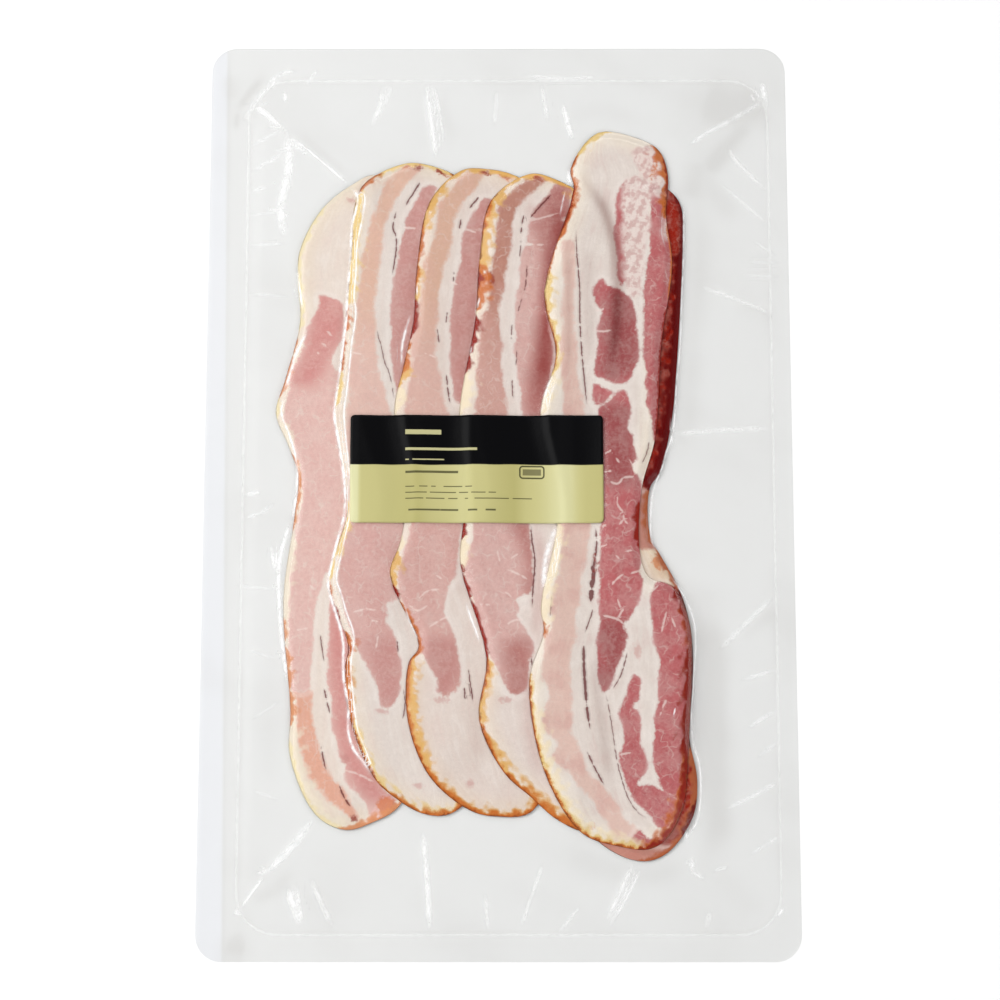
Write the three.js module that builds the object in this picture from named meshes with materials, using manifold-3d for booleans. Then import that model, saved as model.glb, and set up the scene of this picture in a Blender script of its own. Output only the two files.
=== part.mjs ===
// A clear vacuum pack of sliced bacon, lying flat with its label up.
// Millimetres, +Z up, origin under the middle of the pack on the surface it lies on.
// +Y runs along the slices, towards the edge that is at the top when the label is read.
import * as THREE from 'three';
import { mergeVertices } from 'three/addons/utils/BufferGeometryUtils.js';
import Module from 'manifold-3d';

const wasm = await Module();
wasm.setup();

// Driving dimensions of the pack
const PACK_LENGTH = 320;
const PACK_WIDTH = 203;
const PACK_CORNER_RADIUS = 9;
const SEAL_WIDTH = 9;
const SEAL_THICKNESS = 0.6;
const POCKET_THICKNESS = 1.2;
const POCKET_CORNER_RADIUS = 17;
const LOWER_FILM = 0.5;

// Driving dimensions of the slices and the label
const SLICE_THICKNESS = 1.5;
const LAYER_GAP = 0.3;
const LAYER_HEIGHT = SLICE_THICKNESS + LAYER_GAP;
const COVERED_SLICE_WIDTH = 46;
const COVERED_SIDE_REACH = 90;
const COVERED_SIDE_STEP = 30;
const OUTLINE_STEPS = 54;
const RECESS_CLEARANCE = 0.5;
const LABEL_THICKNESS = 0.4;
const LABEL_CORNER_RADIUS = 1.5;
const LABEL = { left: -51, right: 36, bottom: -11.7, top: 26 };

// Every layer is sampled on one grid, so that layers over each other keep their gap
const GRID_STEP = 6;
const GRID_MARGIN = 2;
const GRID_COLUMNS = 2 * (Math.ceil(PACK_WIDTH / 2 / GRID_STEP) + GRID_MARGIN);
const GRID_ROWS = 2 * (Math.ceil(PACK_LENGTH / 2 / GRID_STEP) + GRID_MARGIN);
const STEP_SHOULDER = 1.42 * GRID_STEP;
const STEP_FALL = 6;
const ABOVE_ALL = 40;
const CORNER_SEGMENTS = 8;

// Slices from the lowest to the topmost. "edge" runs from the top end down the left side and round
// the bottom end. Slices with a covered right side get it from their own left side.
const SLICES = [
    { name: 'slice_1', coveredRight: true, edge: [
        [-43, 113], [-51.5, 109.5], [-62, 100.5], [-69.5, 85.5], [-70, 74.5], [-69, 60], [-74, 39],
        [-77, 27.5], [-72.5, 16], [-69, 5.5], [-70, -8.5], [-73.5, -38], [-70.5, -76], [-70.5, -91],
        [-61.5, -111], [-51.5, -116], [-42.5, -113.5], [-34, -108.5]] },
    { name: 'slice_2', coveredRight: true, edge: [
        [-13, 111], [-26, 117], [-34, 117], [-48, 108.5], [-51.5, 85], [-52.5, 68.5], [-54.5, 43.5],
        [-56.5, 26], [-52.5, 1.5], [-52, -9], [-58, -32], [-51, -54], [-52, -61], [-50.5, -77.5],
        [-42, -98.5], [-34.5, -105.5], [-25.5, -110.5], [-17.5, -111], [-10, -106]] },
    { name: 'slice_3', coveredRight: true, edge: [
        [9, 111], [-6.5, 115.5], [-13.5, 114.5], [-24, 103], [-28.5, 77], [-29.5, 59.5], [-33, 43], [-36, 27],
        [-31.5, 0], [-33.5, -18], [-37, -29.5], [-27, -54], [-30.5, -60], [-30.5, -80], [-23, -98.5],
        [-9.5, -109.5], [-0.5, -111.5], [11, -110]] },
    { name: 'slice_4', coveredRight: true, edge: [
        [32, 104], [20, 111.5], [11, 113.5], [-2.5, 103.5], [-6.5, 82.5], [-8, 60], [-13.5, 27], [-12, -10],
        [-13, -25.5], [-4, -58], [-6.5, -79], [2, -97], [11, -105], [20.5, -113], [30, -116]] },
    { name: 'slice_5', coveredRight: false, edge: [
        [50, 112], [28, 106], [26, 0], [28, -112], [38, -123], [49, -126.5], [57, -123.5],
        [65.5, -111.5], [67, -99], [64.5, -84.5], [66, -66], [65.5, -48], [62, -35], [56, -23.5],
        [52, -16], [52, 1], [55.5, 6.5], [60, 26], [62, 47], [64.5, 88.5], [64, 101.5], [60.5, 107]] },
    { name: 'slice_6', coveredRight: false, edge: [
        [49, 126.5], [35, 128.5], [25.5, 115.5], [26.5, 108], [16, 70], [20, 47.5], [14.5, 27], [20.5, -8],
        [14.5, -40.5], [15.5, -49], [10.5, -65.5], [15.5, -96.5], [28, -117], [40.5, -121.5], [50.5, -122.5],
        [56.5, -119], [62, -108.5], [63.5, -98], [65.5, -62.5], [65, -45.5], [59, -33.5], [51.5, -30.5],
        [48.5, -23.5], [49, 0], [54, 18.5], [56.5, 52], [60.5, 80.5], [58.5, 98], [59.5, 113], [56.5, 122]] },
];

// Wrinkles of the upper film that run from the seal to the slices: two ends, width and height
const WRINKLES = [
    { from: [-86, 141], to: [-50, 107], width: 4, height: 1.2 },
    { from: [-74, 132], to: [-75, 93], width: 5, height: 0.6 },
    { from: [-26, 148], to: [-22, 117], width: 4, height: 0.9 },
    { from: [14, 148], to: [20, 111], width: 3, height: 0.6 },
    { from: [93, 141], to: [58, 119], width: 5, height: 1.2 },
    { from: [92, 70], to: [64, 78], width: 4, height: 0.6 },
    { from: [93, -35], to: [66, -56], width: 4, height: 0.6 },
    { from: [95, -100], to: [66, -112], width: 4, height: 0.7 },
    { from: [37, -146], to: [48, -124], width: 4, height: 1.1 },
    { from: [7, -149], to: [14, -112], width: 3, height: 0.7 },
    { from: [-24, -149], to: [-27, -110], width: 4, height: 0.9 },
    { from: [-68, -148], to: [-66, -110], width: 3, height: 0.8 },
    { from: [-90, -142], to: [-60, -109], width: 4, height: 1.2 },
    { from: [-91, 84], to: [-69, 88], width: 3, height: 0.5 },
    { from: [-92, -30], to: [-73, -38], width: 3, height: 0.5 },
];
const WRINKLE_STATIONS = 4;
const WRINKLE_SHARPNESS = 0.6;

function smoothstep(from, to, value) {
    const t = Math.min(Math.max((value - from) / (to - from), 0), 1);
    return t * t * (3 - 2 * t);
}

// The left side's x at a height y, between the points of the edge
function leftSideAt(edge, y) {
    for (let i = 1; i < edge.length; i++) {
        const [upperX, upperY] = edge[i - 1];
        const [lowerX, lowerY] = edge[i];
        const share = (upperY - y) / (upperY - lowerY);
        if (share >= 0 && share <= 1) return upperX + (lowerX - upperX) * share;
    }
    return edge[0][0];
}

function coveredSide(edge) {
    const side = [];
    for (let y = -COVERED_SIDE_REACH; y <= COVERED_SIDE_REACH; y += COVERED_SIDE_STEP) {
        side.push([leftSideAt(edge, y) + COVERED_SLICE_WIDTH, y]);
    }
    return side;
}

function sliceOutline(slice) {
    const corners = slice.coveredRight ? [...slice.edge, ...coveredSide(slice.edge)] : slice.edge;
    const controls = corners.map(([x, y]) => new THREE.Vector3(x, y, 0));
    const loop = new THREE.CatmullRomCurve3(controls, true, 'centripetal');
    const points = loop.getSpacedPoints(OUTLINE_STEPS).slice(0, OUTLINE_STEPS);
    return points.map((point) => new THREE.Vector2(point.x, point.y));
}

// A counter-clockwise outline moved outwards by a small distance
function grownOutline(outline, distance) {
    return outline.map((point, i) => {
        const before = outline[(i + outline.length - 1) % outline.length];
        const after = outline[(i + 1) % outline.length];
        const along = after.clone().sub(before).normalize();
        return new THREE.Vector2(point.x + along.y * distance, point.y - along.x * distance);
    });
}

function roundedRectangle(left, right, bottom, top, radius) {
    const shape = new THREE.Shape();
    shape.moveTo(left + radius, bottom);
    shape.lineTo(right - radius, bottom);
    shape.absarc(right - radius, bottom + radius, radius, -Math.PI / 2, 0, false);
    shape.lineTo(right, top - radius);
    shape.absarc(right - radius, top - radius, radius, 0, Math.PI / 2, false);
    shape.lineTo(left + radius, top);
    shape.absarc(left + radius, top - radius, radius, Math.PI / 2, Math.PI, false);
    shape.lineTo(left, bottom + radius);
    shape.absarc(left + radius, bottom + radius, radius, Math.PI, 1.5 * Math.PI, false);
    return shape;
}

function isInside(outline, x, y) {
    let inside = false;
    for (let i = 0, j = outline.length - 1; i < outline.length; j = i++) {
        const a = outline[i];
        const b = outline[j];
        const crosses = (a.y > y) !== (b.y > y);
        if (crosses && x < a.x + ((b.x - a.x) * (y - a.y)) / (b.y - a.y)) inside = !inside;
    }
    return inside;
}

function distanceOutside(outline, x, y) {
    if (isInside(outline, x, y)) return 0;
    let nearest = Infinity;
    for (let i = 0, j = outline.length - 1; i < outline.length; j = i++) {
        const a = outline[i];
        const b = outline[j];
        const lengthSquared = (b.x - a.x) ** 2 + (b.y - a.y) ** 2;
        const along = ((x - a.x) * (b.x - a.x) + (y - a.y) * (b.y - a.y)) / lengthSquared;
        const t = Math.min(Math.max(along, 0), 1);
        nearest = Math.min(nearest, Math.hypot(x - a.x - t * (b.x - a.x), y - a.y - t * (b.y - a.y)));
    }
    return nearest;
}

// How far a slice lifts what lies over it: fully on the slice and just beyond it, then falling to none
function liftBySlice(outline, x, y) {
    const distance = distanceOutside(outline, x, y);
    return LAYER_HEIGHT * (1 - smoothstep(STEP_SHOULDER, STEP_SHOULDER + STEP_FALL, distance));
}

function gridX(column) {
    return (column - GRID_COLUMNS / 2) * GRID_STEP;
}

function gridY(row) {
    return (row - GRID_ROWS / 2) * GRID_STEP;
}

function gridIndex(column, row) {
    return column * (GRID_ROWS + 1) + row;
}

function gridField(heightAt) {
    const field = [];
    for (let column = 0; column <= GRID_COLUMNS; column++) {
        for (let row = 0; row <= GRID_ROWS; row++) {
            field.push(heightAt(gridX(column), gridY(row), gridIndex(column, row)));
        }
    }
    return field;
}

function toSolid(geometry) {
    geometry.deleteAttribute('normal');
    geometry.deleteAttribute('uv');
    const merged = mergeVertices(geometry);
    return new wasm.Manifold(new wasm.Mesh({
        numProp: 3,
        vertProperties: new Float32Array(merged.attributes.position.array),
        triVerts: new Uint32Array(merged.index.array),
    }));
}

function toGeometry(solid) {
    const mesh = solid.getMesh();
    const geometry = new THREE.BufferGeometry();
    geometry.setAttribute('position', new THREE.BufferAttribute(new Float32Array(mesh.vertProperties), 3));
    geometry.setIndex(new THREE.BufferAttribute(new Uint32Array(mesh.triVerts), 1));
    geometry.computeVertexNormals();
    return geometry;
}

function prism(shape, from, to) {
    const settings = { depth: to - from, bevelEnabled: false, curveSegments: CORNER_SEGMENTS };
    const geometry = new THREE.ExtrudeGeometry(shape, settings);
    geometry.translate(0, 0, from);
    return toSolid(geometry);
}

// The solid between two fields of the grid, over the columns and rows round a box
function slab(bottomField, topField, box) {
    const firstColumn = Math.max(Math.floor(box.min.x / GRID_STEP) + GRID_COLUMNS / 2 - 1, 0);
    const lastColumn = Math.min(Math.ceil(box.max.x / GRID_STEP) + GRID_COLUMNS / 2 + 1, GRID_COLUMNS);
    const firstRow = Math.max(Math.floor(box.min.y / GRID_STEP) + GRID_ROWS / 2 - 1, 0);
    const lastRow = Math.min(Math.ceil(box.max.y / GRID_STEP) + GRID_ROWS / 2 + 1, GRID_ROWS);
    const rows = lastRow - firstRow + 1;
    const positions = [];
    for (const field of [bottomField, topField]) {
        for (let column = firstColumn; column <= lastColumn; column++) {
            for (let row = firstRow; row <= lastRow; row++) {
                positions.push(gridX(column), gridY(row), field[gridIndex(column, row)]);
            }
        }
    }
    const layerSize = positions.length / 6;
    const low = (column, row) => (column - firstColumn) * rows + (row - firstRow);
    const high = (column, row) => low(column, row) + layerSize;
    const triangles = [];
    const quad = (a, b, c, d) => triangles.push(a, b, c, a, c, d);
    for (let column = firstColumn; column < lastColumn; column++) {
        for (let row = firstRow; row < lastRow; row++) {
            quad(high(column, row), high(column + 1, row), high(column + 1, row + 1), high(column, row + 1));
            triangles.push(low(column, row), low(column + 1, row + 1), low(column + 1, row));
            triangles.push(low(column, row), low(column, row + 1), low(column + 1, row + 1));
        }
    }
    const wall = (fromColumn, fromRow, toColumn, toRow) => quad(
        low(fromColumn, fromRow), low(toColumn, toRow), high(toColumn, toRow), high(fromColumn, fromRow));
    for (let column = firstColumn; column < lastColumn; column++) {
        wall(column, firstRow, column + 1, firstRow);
        wall(column + 1, lastRow, column, lastRow);
    }
    for (let row = firstRow; row < lastRow; row++) {
        wall(lastColumn, row, lastColumn, row + 1);
        wall(firstColumn, row + 1, firstColumn, row);
    }
    const geometry = new THREE.BufferGeometry();
    geometry.setAttribute('position', new THREE.Float32BufferAttribute(positions, 3));
    geometry.setIndex(triangles);
    return toSolid(geometry);
}

function layerSolid(outline, bottomField, thickness) {
    const topField = bottomField.map((height) => height + thickness);
    const box = new THREE.Box2().setFromPoints(outline);
    return slab(bottomField, topField, box).intersect(prism(new THREE.Shape(outline), 0, ABOVE_ALL));
}

// A raised fold of film with a sharp crest, low at both ends and buried in the film below
function wrinkle({ from, to, width, height }, filmHeightAt) {
    const start = new THREE.Vector2(...from);
    const end = new THREE.Vector2(...to);
    const across = end.clone().sub(start).normalize().rotateAround(new THREE.Vector2(), Math.PI / 2);
    const positions = [];
    for (let i = 0; i <= WRINKLE_STATIONS; i++) {
        const t = i / WRINKLE_STATIONS;
        const swell = 0.15 + 0.85 * Math.sin(Math.PI * (0.08 + 0.84 * t)) ** WRINKLE_SHARPNESS;
        const middle = start.clone().lerp(end, t);
        const side = across.clone().multiplyScalar((width / 2) * swell);
        const film = filmHeightAt(middle.x, middle.y);
        positions.push(middle.x + side.x, middle.y + side.y, LOWER_FILM / 2);
        positions.push(middle.x - side.x, middle.y - side.y, LOWER_FILM / 2);
        positions.push(middle.x - side.x, middle.y - side.y, film);
        positions.push(middle.x, middle.y, film + height * swell);
        positions.push(middle.x + side.x, middle.y + side.y, film);
    }
    const corners = 5;
    const triangles = [];
    for (let i = 0; i < WRINKLE_STATIONS; i++) {
        for (let corner = 0; corner < corners; corner++) {
            const a = i * corners + corner;
            const b = i * corners + ((corner + 1) % corners);
            triangles.push(a, a + corners, b + corners, a, b + corners, b);
        }
    }
    const last = WRINKLE_STATIONS * corners;
    for (let corner = 1; corner < corners - 1; corner++) {
        triangles.push(0, corner, corner + 1);
        triangles.push(last, last + corner + 1, last + corner);
    }
    const geometry = new THREE.BufferGeometry();
    geometry.setAttribute('position', new THREE.Float32BufferAttribute(positions, 3));
    geometry.setIndex(triangles);
    return toSolid(geometry);
}

function packShape(inset, radius) {
    const halfWidth = PACK_WIDTH / 2 - inset;
    const halfLength = PACK_LENGTH / 2 - inset;
    return roundedRectangle(-halfWidth, halfWidth, -halfLength, halfLength, radius);
}

// The two films: a flat seal all round, and a pocket drawn down round the slices and open over them
function filmSolid(outlines, stackTop) {
    const filmTop = stackTop.map((height) => Math.max(height, POCKET_THICKNESS));
    const flat = stackTop.map(() => 0);
    const halfSize = new THREE.Vector2(PACK_WIDTH / 2, PACK_LENGTH / 2);
    const box = new THREE.Box2(halfSize.clone().negate(), halfSize);
    const filmHeightAt = (x, y) => {
        const lift = outlines.reduce((sum, outline) => sum + liftBySlice(outline, x, y), LOWER_FILM);
        return Math.max(lift, POCKET_THICKNESS);
    };
    let pocket = slab(flat, filmTop, box);
    for (const item of WRINKLES) pocket = pocket.add(wrinkle(item, filmHeightAt));
    pocket = pocket.intersect(prism(packShape(SEAL_WIDTH, POCKET_CORNER_RADIUS), 0, ABOVE_ALL));
    let film = prism(packShape(0, PACK_CORNER_RADIUS), 0, SEAL_THICKNESS).add(pocket);
    for (const outline of outlines) {
        const room = grownOutline(outline, RECESS_CLEARANCE);
        film = film.subtract(prism(new THREE.Shape(room), LOWER_FILM, ABOVE_ALL));
    }
    return film;
}

function part(name, solid, look) {
    const mesh = new THREE.Mesh(toGeometry(solid), new THREE.MeshStandardMaterial(look));
    mesh.name = name;
    return mesh;
}

const FILM_LOOK = { color: 0xe6e8e9, roughness: 0.15, metalness: 0, transparent: true, opacity: 0.35 };
const BACON_LOOK = { color: 0xd79a90, roughness: 0.4, metalness: 0 };
const LABEL_LOOK = { color: 0xd6d596, roughness: 0.45, metalness: 0 };

const group = new THREE.Group();
group.name = 'bacon_pack';

const outlines = SLICES.map(sliceOutline);
let stackTop = gridField(() => LOWER_FILM);
SLICES.forEach((slice, k) => {
    const bottom = stackTop.map((height) => height + LAYER_GAP);
    group.add(part(slice.name, layerSolid(outlines[k], bottom, SLICE_THICKNESS), BACON_LOOK));
    const below = stackTop;
    stackTop = gridField((x, y, index) => below[index] + liftBySlice(outlines[k], x, y));
});

const labelShape = roundedRectangle(LABEL.left, LABEL.right, LABEL.bottom, LABEL.top, LABEL_CORNER_RADIUS);
const labelBottom = stackTop.map((height) => height + LAYER_GAP);
group.add(part('label', layerSolid(labelShape.getPoints(4), labelBottom, LABEL_THICKNESS), LABEL_LOOK));

group.add(part('film_pack', filmSolid(outlines, stackTop), FILM_LOOK));

export default group;
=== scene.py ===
"""The looks of a clear vacuum pack of sliced bacon with a label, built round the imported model.

Shapes are worked out in millimetres, in the model's frame, and turned into metres when a mesh is made.
What is traced from the photograph is given in its own pixels, for a picture of 1000 by 1000, and the
camera's place turns those into millimetres on the pack.
"""
import math

import bpy
import numpy as np
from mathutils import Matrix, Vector
from mathutils.geometry import delaunay_2d_cdt


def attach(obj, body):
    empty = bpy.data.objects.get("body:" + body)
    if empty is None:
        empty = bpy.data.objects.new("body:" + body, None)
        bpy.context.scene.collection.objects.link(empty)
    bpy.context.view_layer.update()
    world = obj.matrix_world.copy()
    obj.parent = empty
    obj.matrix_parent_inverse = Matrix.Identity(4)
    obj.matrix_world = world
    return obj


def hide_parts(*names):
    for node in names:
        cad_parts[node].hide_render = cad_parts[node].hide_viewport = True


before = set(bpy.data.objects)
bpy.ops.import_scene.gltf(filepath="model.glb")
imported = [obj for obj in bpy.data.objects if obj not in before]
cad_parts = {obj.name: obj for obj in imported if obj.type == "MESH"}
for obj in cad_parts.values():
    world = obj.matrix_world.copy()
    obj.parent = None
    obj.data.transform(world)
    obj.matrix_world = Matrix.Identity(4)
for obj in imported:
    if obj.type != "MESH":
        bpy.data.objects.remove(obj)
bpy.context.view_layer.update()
MM = 0.001

# The photograph's camera
CAMERA_TILT = math.radians(10.5)
CAMERA_DISTANCE = 939.0
CAMERA_AIM = np.array([0.5, -3.0, 0.0])
FOCAL_PIXELS = 2726.0
PHOTO_SIZE = 1000
SENSOR_WIDTH = 36.0
CAMERA_BACK = np.array([0.0, -math.sin(CAMERA_TILT), math.cos(CAMERA_TILT)])
CAMERA_UP = np.array([0.0, math.cos(CAMERA_TILT), math.sin(CAMERA_TILT)])
CAMERA_PLACE = CAMERA_AIM + CAMERA_DISTANCE * CAMERA_BACK
# The width of one of its pixels on the pack, in millimetres
PIXEL = CAMERA_DISTANCE / FOCAL_PIXELS

# The pack
PACK_LENGTH = 320.0
PACK_WIDTH = 203.0
PACK_CORNER = 9.0
POCKET = {"left": -88.1, "right": 94.9, "bottom": -151.0, "top": 148.0}
POCKET_CORNER = 14.0
LOWER_FILM = 0.5
SLICE_THICKNESS = 1.5
LAYER_GAP = 0.3
LAYER_HEIGHT = SLICE_THICKNESS + LAYER_GAP
# The side of a slice that the next one covers runs beside its visible side
COVERED_SLICE_WIDTH = 46.0
COVERED_SIDE_REACH = 90
COVERED_SIDE_STEP = 30
LABEL = {"left": -51.0, "right": 36.0, "bottom": -11.7, "top": 26.0}
LABEL_CORNER = 1.5
LABEL_SPLIT = 8.6

# Slices from the lowest to the topmost, as in the model. "edge" runs from the top end down the left
# side and round the bottom end. "height" is where the slice's top lies, for what is traced from the
# photograph.
SLICES = {
    "slice_1": {"covered": True, "height": 2.5, "edge": [
        (-43, 113), (-51.5, 109.5), (-62, 100.5), (-69.5, 85.5), (-70, 74.5), (-69, 60), (-74, 39),
        (-77, 27.5), (-72.5, 16), (-69, 5.5), (-70, -8.5), (-73.5, -38), (-70.5, -76), (-70.5, -91),
        (-61.5, -111), (-51.5, -116), (-42.5, -113.5), (-34, -108.5)]},
    "slice_2": {"covered": True, "height": 4.5, "edge": [
        (-13, 111), (-26, 117), (-34, 117), (-48, 108.5), (-51.5, 85), (-52.5, 68.5), (-54.5, 43.5),
        (-56.5, 26), (-52.5, 1.5), (-52, -9), (-58, -32), (-51, -54), (-52, -61), (-50.5, -77.5),
        (-42, -98.5), (-34.5, -105.5), (-25.5, -110.5), (-17.5, -111), (-10, -106)]},
    "slice_3": {"covered": True, "height": 5.5, "edge": [
        (9, 111), (-6.5, 115.5), (-13.5, 114.5), (-24, 103), (-28.5, 77), (-29.5, 59.5), (-33, 43),
        (-36, 27), (-31.5, 0), (-33.5, -18), (-37, -29.5), (-27, -54), (-30.5, -60), (-30.5, -80),
        (-23, -98.5), (-9.5, -109.5), (-0.5, -111.5), (11, -110)]},
    "slice_4": {"covered": True, "height": 6.0, "edge": [
        (32, 104), (20, 111.5), (11, 113.5), (-2.5, 103.5), (-6.5, 82.5), (-8, 60), (-13.5, 27),
        (-12, -10), (-13, -25.5), (-4, -58), (-6.5, -79), (2, -97), (11, -105), (20.5, -113),
        (30, -116)]},
    "slice_5": {"covered": False, "height": 4.5, "edge": [
        (50, 112), (28, 106), (26, 0), (28, -112), (38, -123), (49, -126.5), (57, -123.5),
        (65.5, -111.5), (67, -99), (64.5, -84.5), (66, -66), (65.5, -48), (62, -35), (56, -23.5),
        (52, -16), (52, 1), (55.5, 6.5), (60, 26), (62, 47), (64.5, 88.5), (64, 101.5), (60.5, 107)]},
    "slice_6": {"covered": False, "height": 7.0, "edge": [
        (49, 126.5), (35, 128.5), (25.5, 115.5), (26.5, 108), (16, 70), (20, 47.5), (14.5, 27),
        (20.5, -8), (14.5, -40.5), (15.5, -49), (10.5, -65.5), (15.5, -96.5), (28, -117),
        (40.5, -121.5), (50.5, -122.5), (56.5, -119), (62, -108.5), (63.5, -98), (65.5, -62.5),
        (65, -45.5), (59, -33.5), (51.5, -30.5), (48.5, -23.5), (49, 0), (54, 18.5), (56.5, 52),
        (60.5, 80.5), (58.5, 98), (59.5, 113), (56.5, 122)]},
}

# How far the step at a slice's edge reaches outwards and inwards, at its left, its right and its ends
STEP_REACH = {
    "slice_1": {"left": (1.2, 2.6), "right": (2.0, 20.0), "end": (1.2, 4.5)},
    "slice_2": {"left": (1.0, 2.2), "right": (2.0, 20.0), "end": (1.2, 4.5)},
    "slice_3": {"left": (1.6, 4.2), "right": (2.0, 20.0), "end": (1.2, 5.0)},
    "slice_4": {"left": (1.6, 4.2), "right": (2.0, 20.0), "end": (1.2, 5.0)},
    "slice_5": {"left": (2.0, 20.0), "right": (1.4, 2.6), "end": (1.2, 9.0)},
    "slice_6": {"left": (1.5, 3.4), "right": (1.4, 3.2), "end": (1.4, 4.5)},
}
# How wide the change is from one side to the other, and from a side to an end
SIDE_BLEND = 9.0
END_BLEND = 12.0

# Paler bands of lean, traced in the photograph from the top down, either as stations of
# (y, left x, right x) or as the (x, y) corners of an outline
PALE_BANDS = {
    "slice_1": [
        [(690, 293, 311), (705, 296, 311), (720, 297, 313), (740, 297, 317), (760, 303, 322),
        (780, 311, 335),
         (800, 328, 350), (812, 342, 356), (818, 351, 357)],
    ],
    "slice_2": [
        [(163, 404, 420), (172, 392, 414), (185, 384, 405), (200, 378, 395), (220, 371, 386),
        (240, 365, 382),
         (260, 361, 380), (280, 360, 378), (300, 357, 376), (320, 356, 376), (340, 353, 376),
         (360, 350, 378),
         (380, 348, 383), (400, 347, 388), (430, 345, 396), (470, 350, 400), (505, 350, 398)],
    ],
    "slice_3": [
        [(166, 470, 484), (175, 461, 482), (186, 451, 475), (200, 441, 462), (220, 436, 455),
        (240, 433, 452),
         (260, 425, 446), (280, 422, 442), (300, 419, 438), (320, 415, 437), (340, 411, 436),
         (360, 411, 437),
         (380, 408, 441), (400, 407, 445), (430, 404, 452), (470, 410, 455), (500, 410, 450)],
    ],
    "slice_4": [
        [(172, 531, 548), (180, 521, 542), (190, 510, 532), (200, 500, 521), (220, 498, 513),
        (240, 495, 511),
         (260, 492, 508), (280, 490, 505), (300, 488, 501), (320, 482, 500), (340, 478, 501),
         (360, 478, 502),
         (380, 475, 503), (400, 476, 506), (430, 470, 510), (470, 474, 512), (500, 474, 508)],
    ],
    "slice_5": [
        [(470, 636, 672), (500, 636, 662), (546, 636, 662)],
        [(838, 590, 690), (850, 590, 690), (868, 590, 680)],
    ],
    "slice_6": [
        [(562, 240), (574, 240), (574, 300), (576, 330), (577, 350), (579, 375), (583, 400), (586, 425),
        (590, 460),
         (592, 500), (592, 523), (589, 546), (583, 569), (581, 592), (577, 615), (576, 638), (572, 649),
         (571, 679), (572, 706), (572, 731), (579, 743), (584, 761), (588, 771), (599, 779), (607, 790),
         (617, 803), (623, 812), (632, 822), (641, 830), (648, 846), (630, 847), (614, 840), (610, 827),
         (602, 815), (597, 804), (588, 795), (577, 785), (568, 769), (560, 764), (553, 757), (555, 743),
         (545, 730), (544, 706), (548, 692), (545, 680), (540, 667), (542, 655), (546, 638), (551, 626),
         (552, 603), (553, 586), (558, 569), (561, 546), (560, 525), (566, 480), (566, 440), (564, 410),
         (562, 380), (561, 350), (562, 320), (563, 280)],
        [(643, 148), (652, 141), (662, 146), (668, 158), (667, 178), (660, 186), (650, 178), (642, 172)],
    ],
}
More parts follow.
